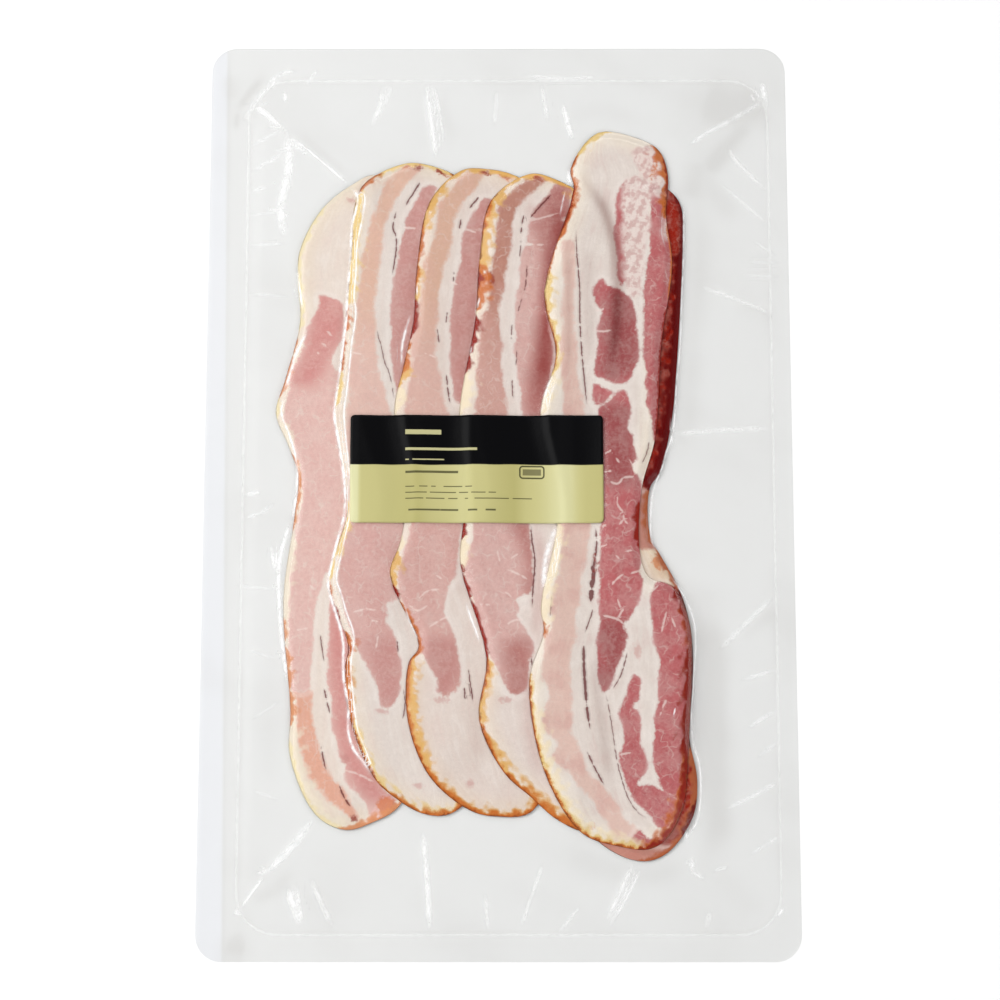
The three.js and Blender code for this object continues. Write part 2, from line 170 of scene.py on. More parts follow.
# Bands of full lean, in the same form
LEAN_BANDS = {
    "slice_1": [
        [(330, 297), (341, 303), (344, 318), (341, 341), (334, 351), (333, 364), (341, 375), (338, 392),
         (346, 420), (354, 460), (356, 510), (348, 545), (338, 566), (324, 576), (322, 585), (318, 596),
         (316, 608), (313, 632), (313, 646), (311, 670), (309, 690), (291, 690), (290, 660), (287, 630),
         (288, 600), (290, 570), (296, 530), (302, 490), (296, 450), (284, 420), (286, 395), (292, 372),
         (300, 349), (306, 334), (313, 318), (318, 305), (319, 295)],
        [(331, 598), (329, 617), (328, 646), (327, 665), (328, 689), (331, 700), (332, 729), (336, 743),
         (339, 754), (345, 767), (344, 773), (347, 782), (356, 792), (366, 803), (371, 822), (384, 816),
         (396, 800), (384, 788), (376, 776), (366, 762), (358, 745), (354, 720), (352, 700), (350, 670),
         (350, 640), (342, 618), (336, 604)],
    ],
    "slice_2": [
        [(184, 424, 436), (196, 417, 432), (205, 412, 430), (225, 404, 427)],
        [(228, 404, 427), (240, 400, 425), (260, 397, 422), (280, 394, 420), (300, 391, 418),
        (320, 390, 416),
         (340, 390, 412), (355, 391, 407), (370, 393, 405), (385, 395, 404), (400, 397, 402)],
        [(505, 349, 412), (525, 346, 408), (540, 343, 404), (560, 339, 400), (580, 338, 398),
        (597, 341, 396),
         (604, 343, 385), (615, 346, 389), (622, 348, 387), (632, 351, 394), (645, 354, 398),
         (655, 361, 399),
         (665, 366, 401), (676, 372, 401), (688, 377, 400), (698, 379, 397), (706, 383, 391)],
    ],
    "slice_3": [
        [(196, 482, 492), (208, 475, 490), (222, 468, 487), (226, 466, 487)],
        [(229, 465, 486), (240, 462, 484), (260, 460, 483), (280, 455, 481), (300, 452, 478),
        (320, 449, 476),
         (340, 450, 474), (360, 450, 471), (380, 452, 468), (400, 456, 466)],
        [(500, 408, 468), (521, 409, 462), (535, 408, 460), (550, 404, 459), (575, 398, 456),
        (589, 399, 447),
         (600, 401, 445), (612, 405, 444), (622, 411, 449), (632, 415, 454), (650, 420, 458),
         (662, 428, 460),
         (669, 431, 461), (676, 436, 461), (684, 438, 460), (691, 438, 456), (695, 443, 449)],
    ],
    "slice_4": [
        [(180, 556, 574), (190, 548, 572), (200, 540, 570), (214, 532, 568)],
        [(218, 530, 567), (230, 528, 565), (241, 526, 561)],
        [(243, 525, 561), (260, 521, 557), (280, 519, 552), (300, 516, 549), (320, 515, 549),
        (340, 514, 552),
         (360, 516, 553), (380, 518, 549), (400, 521, 545), (430, 524, 560), (470, 526, 570),
         (505, 524, 570)],
        [(505, 470, 526), (521, 473, 529), (535, 472, 530), (550, 468, 532), (562, 464, 533),
        (580, 466, 533),
         (592, 469, 530), (598, 472, 518), (606, 474, 520), (614, 476, 516), (626, 480, 524),
         (640, 485, 532),
         (652, 489, 534), (660, 492, 531), (668, 496, 529), (676, 500, 528), (684, 503, 527),
         (691, 507, 524),
         (695, 511, 518)],
    ],
    "slice_5": [
        [(176, 640, 690), (240, 646, 692), (300, 650, 690), (350, 655, 688), (415, 652, 684),
        (450, 650, 676),
         (478, 640, 668), (487, 642, 660)],
        [(588, 640, 690), (620, 640, 700), (680, 640, 702), (740, 640, 702), (790, 650, 702),
        (838, 640, 694)],
    ],
    "slice_6": [
        [(627, 178), (630, 184), (626, 200), (625, 213), (629, 224), (625, 244), (628, 262), (626, 280),
         (620, 284), (618, 270), (618, 255), (615, 236), (616, 213), (617, 193), (621, 183)],
        [(603, 276), (608, 281), (617, 284), (625, 290), (633, 300), (637, 316), (638, 325), (639, 337),
         (639, 355), (635, 369), (629, 379), (623, 382), (615, 381), (605, 377), (595, 373), (595, 361),
         (598, 343), (598, 329), (600, 318), (602, 309), (595, 300), (593, 290), (596, 281)],
        [(594, 381), (609, 387), (613, 391), (609, 396), (601, 403), (595, 402), (593, 392)],
        [(627, 389), (631, 400), (631, 410), (628, 427), (633, 432), (635, 444), (637, 456), (633, 464),
         (637, 472), (641, 480), (643, 490), (643, 505), (642, 521), (643, 545), (641, 560), (641, 571),
         (644, 580), (641, 592), (637, 603), (632, 616), (625, 623), (628, 632), (627, 643), (622, 656),
         (617, 668), (612, 680), (604, 692), (600, 682), (597, 666), (597, 646), (599, 630), (600, 614),
         (599, 600), (599, 580), (600, 560), (600, 540), (600, 520), (602, 500), (603, 480), (600, 460),
         (598, 440), (597, 420), (599, 405), (608, 400), (616, 392), (622, 388)],
        [(624, 698), (629, 682), (634, 674), (641, 677), (641, 688), (640, 698), (634, 706), (639, 712),
         (641, 724), (642, 743), (646, 755), (647, 764), (644, 774), (639, 783), (653, 784), (663, 789),
         (675, 797), (683, 803), (677, 815), (669, 829), (659, 826), (651, 815), (641, 806), (629, 791),
         (623, 773), (619, 755), (623, 743), (624, 724), (619, 712)],
        [(652, 590), (658, 578), (668, 580), (676, 588), (684, 601), (691, 615), (696, 640), (696, 680),
         (693, 720), (694, 750), (695, 775), (694, 797), (684, 801), (672, 796), (660, 786), (655, 768),
         (653, 745), (655, 718), (658, 700), (659, 661), (655, 638), (651, 612)],
        [(606, 838), (622, 843), (632, 838), (640, 828), (650, 838), (664, 838), (664, 850), (640, 856),
         (612, 850)],
        [(652, 180), (668, 192), (669, 221), (672, 236), (675, 252), (679, 272), (678, 288), (675, 304),
         (672, 320), (671, 343), (670, 359), (668, 377), (667, 395), (666, 420), (660, 440), (655, 440),
         (652, 420), (648, 405), (645, 400), (648, 390), (644, 382), (646, 371), (644, 355), (644, 330),
         (644, 307), (644, 288), (646, 268), (649, 248), (650, 228), (650, 199)],
    ],
}
# Darker or warmer stretches of the lean, drawn with soft edges
DEEP_BANDS = {
    "slice_1": [
        [(290, 318, 342), (330, 308, 345), (360, 300, 330), (384, 292, 318)],
        [(600, 330, 348), (700, 331, 352), (755, 340, 362), (800, 366, 392)],
    ],
    "slice_2": [
        [(180, 412, 440), (260, 394, 430), (340, 388, 420), (410, 396, 410)],
        [(640, 366, 404), (690, 376, 404), (712, 376, 400)],
    ],
    "slice_3": [
        [(190, 470, 500), (260, 456, 490), (340, 448, 480), (410, 456, 470)],
        [(640, 424, 460), (680, 430, 460), (700, 430, 446)],
    ],
    "slice_4": [
        [(178, 552, 580), (222, 536, 570), (262, 542, 560), (300, 544, 560), (340, 534, 560),
        (411, 526, 560)],
        [(521, 512, 534), (560, 524, 540), (600, 526, 540)],
        [(640, 506, 532), (680, 506, 530), (700, 506, 520)],
    ],
    "slice_5": [[(170, 630, 700), (500, 630, 700), (860, 600, 700)]],
    "slice_6": [
        [(286, 608, 620), (300, 606, 634), (340, 602, 640), (372, 600, 632)],
        [(405, 600, 630), (440, 600, 636), (480, 604, 632)],
        [(618, 600, 628), (650, 602, 628), (690, 606, 612)],
    ],
}

# Dark seams between the layers of fat and lean, traced as (line, how wide beside the usual)
SEAMS = {
    "slice_1": [
        ([(320, 634), (322, 648), (324, 662)], 0.7), ([(324, 688), (327, 702), (330, 714)], 1.0),
        ([(321, 746), (323, 758), (326, 770)], 1.0), ([(339, 785), (345, 799), (351, 807)], 1.2),
    ],
    "slice_2": [
        ([(420, 179), (414, 190), (408, 199), (405, 205)], 1.1),
        ([(397, 208), (394, 218), (393, 228), (396, 236), (396, 250), (394, 264), (392, 276)], 1.0),
        ([(377, 325), (378, 335), (381, 345), (384, 360), (389, 372), (392, 385), (394, 400)], 0.6),
        ([(397, 640), (398, 652)], 0.8), ([(403, 688), (405, 702), (402, 722)], 0.8),
    ],
    "slice_3": [
        ([(479, 194), (474, 200), (469, 206)], 1.2), ([(461, 217), (459, 228)], 1.0),
        ([(454, 270), (453, 280)], 0.9), ([(447, 310), (446, 322)], 0.8), ([(437, 327), (439, 342)], 0.9),
        ([(446, 372), (448, 390), (450, 402)], 1.0), ([(465.5, 529), (462.5, 549), (461, 567)], 1.1),
        ([(464, 685), (465, 699)], 0.9), ([(468, 667), (473, 702)], 0.9),
    ],
    "slice_4": [
        ([(552, 190), (544, 199), (536, 208), (530, 216)], 1.2), ([(524, 212), (522, 222), (521, 232)],
        1.0),
        ([(521, 238), (520, 256)], 0.7), ([(527, 262), (526, 280), (524, 290)], 0.7),
        ([(522, 296), (518, 310)], 0.6), ([(512, 322), (511, 338)], 0.7), ([(517, 348), (516, 364)], 0.6),
        ([(512, 376), (513, 396)], 0.7), ([(531, 521), (532, 538), (535, 558), (533, 588), (532, 608)],
        1.1),
        ([(531, 655), (533, 668)], 0.8),
    ],
    "slice_5": [],
    "slice_6": [
        ([(576, 222), (577, 250), (579, 272), (580, 290), (580, 310), (581, 335), (583, 360), (585.5, 385),
          (588, 410)], 1.0),
        ([(596, 525), (597, 542), (595, 561), (592, 578)], 1.3),
        ([(584, 639), (584, 656), (585, 678), (587, 706), (591, 731)], 2.2),
        ([(587, 750), (595, 767), (605, 785)], 1.2), ([(595, 556), (593, 576), (591, 601)], 4.5),
        ([(605, 689), (609, 706), (613, 731), (617, 758), (622, 778), (630, 800), (641, 814), (652, 819)],
        0.6),
        ([(628, 650), (622, 672), (613, 689)], 0.8), ([(594, 606), (590, 618), (585, 632)], 0.8),
        ([(552, 594), (550, 616)], 0.5), ([(650, 438), (647, 452), (642, 462)], 0.7),
    ],
}
# Thin pale threads in the lean
THREADS = {
    "slice_1": [
        [(327, 331), (332, 336)], [(322, 343), (326, 346)], [(317, 352), (322, 355)], [(344, 770),
        (358, 774), (374, 782)],
        [(296, 630), (308, 628)], [(310, 585), (314, 590)],
    ],
    "slice_2": [
        [(404, 226), (416, 227)], [(352, 352), (362, 354)], [(365, 608), (372, 609)], [(371, 620),
        (378, 621)],
        [(378, 635), (376, 648)], [(352, 612), (366, 609), (378, 610)],
    ],
    "slice_3": [
        [(466, 227), (476, 230)], [(448, 279), (460, 284)], [(424, 352), (436, 356)], [(418, 598),
        (428, 590), (440, 588)],
        [(408, 604), (418, 610), (428, 604)], [(428, 627), (442, 618), (452, 614)], [(436, 574),
        (442, 578)],
    ],
    "slice_4": [
        [(527, 219), (542, 215), (560, 209)], [(523, 242), (545, 242)], [(480, 603), (490, 604)],
        [(507, 568), (520, 573), (528, 578)], [(497, 549), (500, 560)], [(511, 557), (518, 552)],
        [(505, 590), (512, 596)], [(506, 624), (514, 619), (524, 618)],
    ],
    "slice_5": [[(648, 176), (650, 200)]],
    "slice_6": [
        [(595, 328), (603, 329), (612, 328)], [(595, 308), (601, 308), (605, 305)],
        [(606, 478), (618, 482), (624, 476), (636, 475)], [(604, 470), (612, 469)],
        [(618, 494), (618, 503), (624, 511)], [(619, 523), (624, 519), (629, 523)], [(624, 519),
        (624, 513)],
        [(601, 525), (607, 523)], [(601, 545), (608, 543)], [(625, 550), (633, 549)], [(616, 554),
        (620, 557)],
        [(624, 572), (615, 580), (612, 584)], [(631, 572), (641, 569)], [(618, 598), (621, 607)],
        [(600, 613), (612, 616), (618, 618), (626, 624)], [(618, 617), (624, 607)], [(616, 456),
        (620, 461)],
        [(629, 457), (634, 463), (638, 458)], [(668, 607), (665, 618), (662, 632)], [(667, 698),
        (660, 715)],
        [(619, 754), (631, 752)], [(605, 452), (612, 448)],
        [(672, 616), (676, 626)], [(652, 590), (659, 584)],
    ],
}
# Coloured rims along the visible edge: kind, the photograph's y where it starts and ends, width in mm
LEFT_RIMS = {
    "slice_1": [
        ("cream", 178, 300, 2.0), ("yellow", 205, 330, 1.3), ("orange", 338, 352, 1.2),
        ("orange", 356, 396, 1.5),
        ("yellow", 398, 416, 2.0), ("cream", 418, 446, 2.8), ("orange", 452, 530, 1.1),
        ("cream", 536, 622, 2.6),
        ("orange", 618, 640, 1.4), ("orange", 646, 688, 1.7), ("orange", 690, 724, 2.4),
        ("cream", 720, 840, 4.2),
        ("yellow", 740, 840, 1.2),
    ],
    "slice_2": [
        ("yellow", 158, 186, 1.3), ("orange", 172, 190, 2.6), ("yellow", 188, 305, 3.2),
        ("orange", 303, 332, 2.2),
        ("orange", 332, 372, 1.0), ("yellow", 370, 405, 1.8), ("yellow", 500, 580, 2.0),
        ("orange", 578, 600, 0.9),
        ("red", 596, 622, 0.8), ("orange", 632, 655, 3.2), ("red", 644, 656, 1.2),
        ("orange", 655, 724, 2.2),
        ("yellow", 655, 800, 2.4), ("orange", 724, 786, 0.8), ("orange", 784, 830, 1.7),
        ("yellow", 790, 830, 2.6),
    ],
    "slice_3": [
        ("yellow", 160, 182, 1.6), ("yellow", 180, 234, 2.8), ("orange", 222, 262, 1.5),
        ("orange", 262, 292, 1.2),
        ("yellow", 262, 300, 2.2), ("red", 298, 338, 1.5), ("orange", 338, 352, 1.0),
        ("orange", 352, 372, 2.4),
        ("yellow", 360, 384, 3.2), ("cream", 384, 412, 3.2), ("cream", 536, 556, 2.2),
        ("yellow", 552, 588, 3.2),
        ("red", 584, 598, 1.6), ("orange", 600, 664, 1.2), ("orange", 658, 764, 1.3),
        ("yellow", 656, 770, 4.0),
        ("yellow", 760, 830, 2.4), ("orange", 762, 830, 1.6),
    ],
    "slice_4": [
        ("yellow", 160, 186, 1.5), ("yellow", 184, 276, 3.6), ("orange", 196, 232, 1.4),
        ("orange", 262, 306, 4.8),
        ("red", 270, 284, 2.4), ("cream", 304, 316, 1.6), ("red", 314, 350, 2.2), ("cream", 350, 356, 1.6),
        ("red", 354, 370, 2.4), ("cream", 370, 411, 4.0), ("red", 519, 536, 2.6), ("cream", 532, 566, 3.2),
        ("red", 560, 600, 0.9), ("red", 598, 660, 1.1), ("yellow", 656, 728, 2.6),
        ("orange", 656, 700, 1.0),
        ("orange", 716, 770, 1.3), ("orange", 768, 840, 2.0), ("yellow", 728, 840, 3.0),
    ],
    "slice_6": [
        ("yellow", 120, 154, 2.0), ("orange", 150, 172, 1.4), ("orange", 170, 240, 1.9),
        ("red", 176, 230, 0.8),
        ("orange", 236, 276, 0.6), ("yellow", 268, 312, 3.0), ("orange", 290, 370, 0.5),
        ("yellow", 310, 372, 1.8),
        ("cream", 368, 411, 3.4), ("cream", 521, 624, 3.4), ("orange", 620, 634, 1.5),
        ("orange", 672, 760, 0.7),
        ("yellow", 672, 790, 1.4), ("orange", 760, 862, 0.9), ("yellow", 780, 862, 1.9),
        ("cream", 700, 862, 4.0),
    ],
    "slice_5": [],
}
RIGHT_RIMS = {
    "slice_1": [("orange", 786, 846, 2.2)],
    "slice_6": [
        ("orange", 142, 180, 3.0), ("orange", 178, 214, 2.4), ("red", 150, 200, 0.7),
        ("orange", 214, 300, 0.5),
        ("red", 300, 440, 0.5), ("red", 500, 545, 1.6), ("red", 590, 650, 2.2), ("red", 640, 760, 3.2),
        ("orange", 600, 800, 2.2), ("red", 755, 862, 2.2), ("orange", 780, 866, 3.6),
    ],
    "slice_5": [
        ("red", 190, 262, 1.0), ("red", 250, 486, 4.8), ("orange", 486, 545, 1.6),
        ("orange", 548, 590, 1.6),
        ("red", 590, 745, 3.0), ("orange", 590, 836, 3.0), ("red", 800, 835, 1.6),
        ("orange", 832, 872, 1.6),
    ],
}

# Stretches where fat and lean are mixed
MOTTLED = {
    "slice_1": [], "slice_2": [], "slice_3": [], "slice_4": [], "slice_5": [],
    "slice_6": [
        [(626, 176), (640, 172), (650, 186), (651, 210), (648, 236), (645, 262), (642, 284), (636, 294),
         (628, 288), (624, 274), (624, 250), (622, 228), (621, 204), (622, 186)],
        [(636, 146), (652, 138), (666, 150), (672, 176), (668, 196), (656, 190), (644, 178), (638, 164)],
        [(670, 196), (680, 202), (676, 240), (668, 236)],
    ],
}

# Spots: kind, centre x and y, half width and half height in the photograph's pixels, and turn in degrees
SPOTS = {
    "slice_1": [("red", 354, 818, 3, 3, 0), ("orange", 387, 806, 11, 9, 30), ("pink", 345, 759, 5, 5, 0),
                ("pink", 351, 200, 5, 3, 0)],
    "slice_2": [("orange", 412, 163, 12, 2.5, -8), ("red", 417, 165, 5, 2.2, 10),
    ("orange", 443, 169, 10, 4, 25),
                ("red", 441, 169, 6, 2.4, 25), ("pink", 418, 785, 5, 3, 0),
                ("pink", 382, 711, 6, 3, 0), ("red", 350, 650, 2, 4, 0)],
    "slice_3": [("orange", 484, 169, 8, 2.5, 5), ("red", 486, 169, 4, 2, 10),
    ("orange", 505, 172, 8, 4, 30),
                ("red", 504, 171, 5, 2.5, 30), ("pink", 470, 783, 4, 4, 0),
                ("pink", 441, 699, 7, 3, 0)],
    "slice_4": [("orange", 536, 174, 8, 3, 10), ("red", 538, 175, 4, 2.2, 10),
    ("orange", 563, 178, 12, 4, 20),
                ("red", 564, 178, 8, 2.2, 20), ("red", 490, 276, 4, 8, -20),
                ("pink", 506, 699, 7, 3, 0), ("red", 520, 803, 13, 9, -15), ("pink", 513, 788, 6, 5, 0)],
    "slice_5": [("orange", 657, 562, 4, 7, -20)],
    "slice_6": [("red", 595, 556, 1.6, 5, 0),
                ("red", 596, 568, 1.6, 6, 10), ("orange", 547, 630, 2, 5, 15),
                ("orange", 591, 826, 5, 2, -20),
                ("pink", 638, 650, 4, 8, 0), ("orange", 661, 146, 6, 3, 40),
                ("orange", 655, 166, 2.5, 9, 15)],
}

# Soft shadows and deeper tones across a slice: a traced line, half its width in pixels and its strength
SHADES = {
    "slice_1": [([(344, 300), (338, 360), (334, 411)], 4, 0.25)],
    "slice_2": [([(420, 240), (408, 320), (398, 400)], 6, 0.25), ([(392, 530), (398, 600)], 8, 0.2)],
    "slice_3": [([(484, 220), (476, 300), (464, 400)], 6, 0.25), ([(458, 530), (462, 600)], 7, 0.25),
                ([(474, 700), (478, 760)], 6, 0.2)],
    "slice_4": [([(561, 190), (558, 240), (549, 290), (546, 345), (537, 411)], 10, 1.0),
                ([(532, 200), (536, 230)], 9, 0.3), ([(536, 521), (540, 560), (536, 640)], 7, 0.35),
                ([(530, 660), (528, 720), (540, 780)], 7, 0.25)],
    "slice_5": [([(676, 250), (670, 340), (660, 480)], 6, 0.5)],
    "slice_6": [([(584, 176), (599, 196), (608, 216), (614, 240), (618, 284), (616, 330), (610, 372)],
    6, 1.0),
                ([(568, 240), (569, 300), (569, 370)], 4, 0.4), ([(588, 240), (590, 300), (590, 360)],
                7, 0.3), ([(596, 640), (598, 690), (604, 740), (612, 790)], 6, 0.45),
                ([(604, 400), (606, 450)], 6, 0.2), ([(660, 330), (664, 400)], 5, 0.3),
                ([(688, 640), (684, 740), (690, 790)], 5, 0.4)],
}

# Folds of the clear film: a traced line, half its width and its height in millimetres
RIDGES = [
    ([(250, 100), (300, 147), (352, 190)], 1.3, 0.55),
    ([(285, 132), (290, 165), (283, 205), (284, 240)], 1.9, 0.35),
    ([(426, 82), (431, 120), (437, 160)], 1.2, 0.5),
    ([(562, 100), (573, 142)], 1.2, 0.4),
    ([(766, 98), (730, 120), (688, 146)], 1.4, 0.5),
    ([(698, 288), (735, 300), (776, 316)], 1.3, 0.25),
    ([(672, 434), (720, 430), (772, 428)], 1.5, 0.2),
    ([(718, 651), (750, 620), (776, 594)], 1.4, 0.3),
    ([(724, 810), (755, 795), (783, 779)], 1.4, 0.25),
    ([(634, 860), (620, 890), (605, 922)], 1.3, 0.5),
    ([(423, 828), (427, 880), (430, 932)], 1.3, 0.5),
    ([(300, 878), (303, 926)], 1.5, 0.35),
    ([(310, 878), (322, 905), (332, 932)], 1.4, 0.35),
    ([(314, 816), (290, 845), (262, 882), (238, 914)], 1.4, 0.6),
]

# Painted highlights on the film's folds and along the slices' edges, partly whitened creases: a traced line
# at a height, half its width in millimetres and its strength
CREASE_AND_HIGHLIGHT_STREAKS = [
    ([(252, 102), (275, 122), (290, 136)], 1.0, 0.9, 0.75),
    ([(290, 136), (320, 160), (348, 184)], 1.0, 0.5, 0.75),
    ([(285, 132), (290, 150), (288, 172), (282, 200), (283, 240)], 1.0, 1.4, 0.6),
    ([(292, 150), (291, 185)], 1.0, 0.5, 0.45),
    ([(246, 148), (266, 138), (284, 128)], 1.0, 0.7, 0.25),
    ([(246, 172), (272, 160), (288, 150)], 1.0, 0.8, 0.3),
    ([(246, 192), (270, 186)], 1.0, 0.7, 0.25),
    ([(246, 215), (286, 212)], 1.0, 0.6, 0.2),
    ([(246, 245), (290, 243)], 1.0, 0.6, 0.25),
    ([(246, 293), (292, 297)], 1.0, 0.6, 0.2),
    ([(241, 122), (252, 108), (265, 90), (285, 76)], 0.8, 1.0, 0.35),
    ([(264, 88), (280, 74), (300, 70)], 0.8, 0.8, 0.35),
    ([(306, 86), (318, 68)], 0.8, 0.7, 0.35), ([(284, 92), (286, 102)], 0.8, 0.6, 0.7),
    ([(385, 82), (378, 110), (371, 130)], 1.0, 1.0, 0.4), ([(392, 84), (384, 108)], 1.0, 0.7, 0.25),
    ([(426, 80), (430, 110), (433, 135), (437, 160)], 1.0, 0.7, 0.65),
    ([(434, 84), (440, 115), (444, 145)], 1.0, 0.5, 0.4),
    ([(497, 88), (494, 130)], 1.0, 0.9, 0.25), ([(541, 80), (548, 125)], 1.0, 0.8, 0.4),
    ([(562, 100), (567, 120), (573, 142)], 1.0, 0.8, 0.75), ([(568, 122), (574, 140)], 1.0, 0.4, 0.6),
    ([(520, 74), (560, 78), (600, 76)], 0.9, 0.7, 0.3),
    ([(762, 80), (764, 92), (767, 108)], 0.9, 0.9, 0.8), ([(750, 92), (756, 104)], 0.9, 0.6, 0.35),
    ([(764, 100), (735, 118), (705, 134), (688, 146)], 1.0, 0.8, 0.45),
    ([(732, 140), (730, 152), (745, 170), (768, 192)], 1.0, 0.8, 0.35),
    ([(720, 184), (742, 202), (768, 224)], 1.0, 0.7, 0.25), ([(752, 240), (778, 256)], 1.0, 0.6, 0.2),
    ([(700, 286), (735, 299), (776, 315)], 1.0, 0.8, 0.3),
    ([(745, 262), (782, 262)], 1.0, 0.6, 0.2), ([(740, 275), (782, 276)], 1.0, 0.6, 0.2),
    ([(672, 434), (720, 430), (772, 428)], 1.0, 1.0, 0.3),
    ([(718, 651), (748, 622), (776, 594)], 1.0, 0.9, 0.35), ([(738, 681), (782, 668)], 1.0, 0.8, 0.3),
    ([(746, 729), (782, 707)], 1.0, 0.8, 0.3), ([(756, 759), (782, 738)], 1.0, 0.8, 0.3),
    ([(724, 810), (755, 795), (783, 779)], 1.0, 0.8, 0.35), ([(748, 856), (783, 834)], 1.0, 0.8, 0.3),
    ([(692, 857), (693, 870)], 1.0, 0.7, 0.8), ([(686, 831), (687, 840)], 1.0, 0.5, 0.8),
    ([(687, 868), (696, 874), (706, 880)], 1.0, 0.7, 0.35), ([(710, 872), (730, 866)], 1.0, 0.7, 0.25),
    ([(706, 930), (710, 910)], 1.0, 1.0, 0.3), ([(778, 916), (784, 908)], 1.0, 0.6, 0.7),
    ([(634, 862), (622, 888), (606, 922)], 1.0, 0.7, 0.6), ([(642, 866), (628, 895), (609, 928)],
    1.0, 0.5, 0.5),
    ([(544, 860), (532, 895), (520, 930)], 1.0, 0.7, 0.3), ([(581, 905), (556, 936)], 1.0, 0.7, 0.3),
    ([(423, 830), (427, 880), (430, 932)], 1.0, 0.8, 0.6), ([(485, 890), (488, 932)], 1.0, 0.7, 0.3),
    ([(292, 884), (290, 895), (296, 912), (301, 928)], 1.0, 1.3, 0.65),
    ([(310, 876), (320, 900), (334, 930)], 1.0, 1.0, 0.4), ([(296, 880), (299, 902), (303, 926)],
    1.0, 0.5, 0.5),
    ([(314, 818), (296, 842), (266, 874)], 1.0, 1.0, 0.8), ([(266, 874), (254, 890), (238, 912)],
    1.0, 0.5, 0.6),
    ([(234, 912), (240, 914)], 0.8, 0.6, 0.7), ([(256, 874), (268, 872)], 0.9, 0.7, 0.5),
    ([(232, 584), (276, 590)], 1.0, 0.6, 0.2), ([(244, 494), (262, 492)], 1.0, 0.7, 0.4),
    ([(244, 518), (262, 512), (276, 502)], 1.0, 0.6, 0.35), ([(246, 650), (276, 658)], 1.0, 0.6, 0.2),
    ([(250, 720), (282, 700)], 1.0, 0.6, 0.2), ([(250, 790), (280, 800)], 1.0, 0.6, 0.2),
    ([(347, 182), (357, 194), (356, 208), (352, 222), (350, 257), (347, 297), (346, 318), (343, 341),
      (337, 389), (334, 412), (338, 440), (344, 480), (344, 512), (337, 540), (332, 560), (329, 572),
      (328, 585), (331, 598), (336, 614), (341, 631), (343, 644), (343, 675), (346, 694), (348, 709),
      (348, 732), (353, 748), (361, 759), (372, 774)], 4.6, 0.55, 0.95),
    ([(352, 188), (364, 194), (363, 214), (357, 245), (356, 272), (354, 297), (356, 311), (352, 341),
      (347, 389), (344, 412), (346, 440), (350, 480), (350, 510), (344, 540), (340, 560), (337, 572),
      (337, 582), (341, 593), (347, 614), (352, 627), (354, 639), (351, 660), (351, 675), (353, 694),
      (355, 714), (358, 731), (364, 746), (372, 767), (377, 779)], 4.6, 0.38, 0.85),
    ([(296, 262), (298, 280), (300, 295), (303, 312)], 3.0, 0.5, 0.8),
    ([(309, 329), (300, 344), (294, 358), (288, 378), (282, 396)], 3.0, 0.6, 0.85),
    ([(271, 544), (273, 560), (277, 575)], 1.4, 0.5, 0.9),
    ([(290, 520), (284, 540), (280, 556), (278, 575), (279, 605), (281, 636), (284, 660), (287, 684)],
    2.6, 0.6, 0.9),
    ([(286, 396), (281, 410), (288, 432), (294, 450), (297, 470), (295, 500), (291, 522)], 2.8, 0.5, 0.85),
    ([(417, 281), (417, 296)], 6.0, 0.4, 0.8), ([(411, 310), (406, 326), (402, 344), (401, 366)],
    6.0, 0.5, 0.85),
    ([(480, 294), (477, 306)], 6.4, 0.4, 0.7), ([(472, 344), (470, 352)], 6.4, 0.4, 0.7),
    ([(465, 598), (470, 614), (476, 630), (481, 645)], 6.2, 0.5, 0.8),
    ([(403, 600), (410, 622), (420, 642)], 5.6, 0.4, 0.5),
    ([(570, 164), (569, 172), (573, 180)], 7.2, 0.6, 0.85), ([(566, 184), (562, 202), (560, 214)],
    7.0, 0.35, 0.6),
    ([(554, 371), (548, 384), (544, 398), (541, 413)], 7.2, 0.55, 0.9), ([(557, 376), (551, 392),
    (548, 412)], 7.4, 0.3, 0.6),
    ([(558, 521), (552, 536), (547, 552), (545, 568), (543, 590)], 7.2, 1.0, 0.9),
    ([(561, 535), (558, 556), (554, 578)], 7.6, 0.4, 0.6),
    ([(684, 200), (684, 249), (682, 299), (680, 350), (677, 380), (675, 415), (672, 436), (667, 450),
      (662, 468), (656, 482), (652, 500), (652, 540), (658, 552)], 3.0, 0.35, 0.75),
    ([(668, 572), (680, 588), (690, 606), (696, 630), (694, 680), (692, 720), (694, 744), (700, 764),
      (701, 800), (697, 822), (688, 838)], 3.4, 0.35, 0.7),
    ([(664, 205), (662, 230), (668, 250)], 7.6, 0.3, 0.3), ([(676, 706), (674, 716)], 7.4, 0.3, 0.8),
]
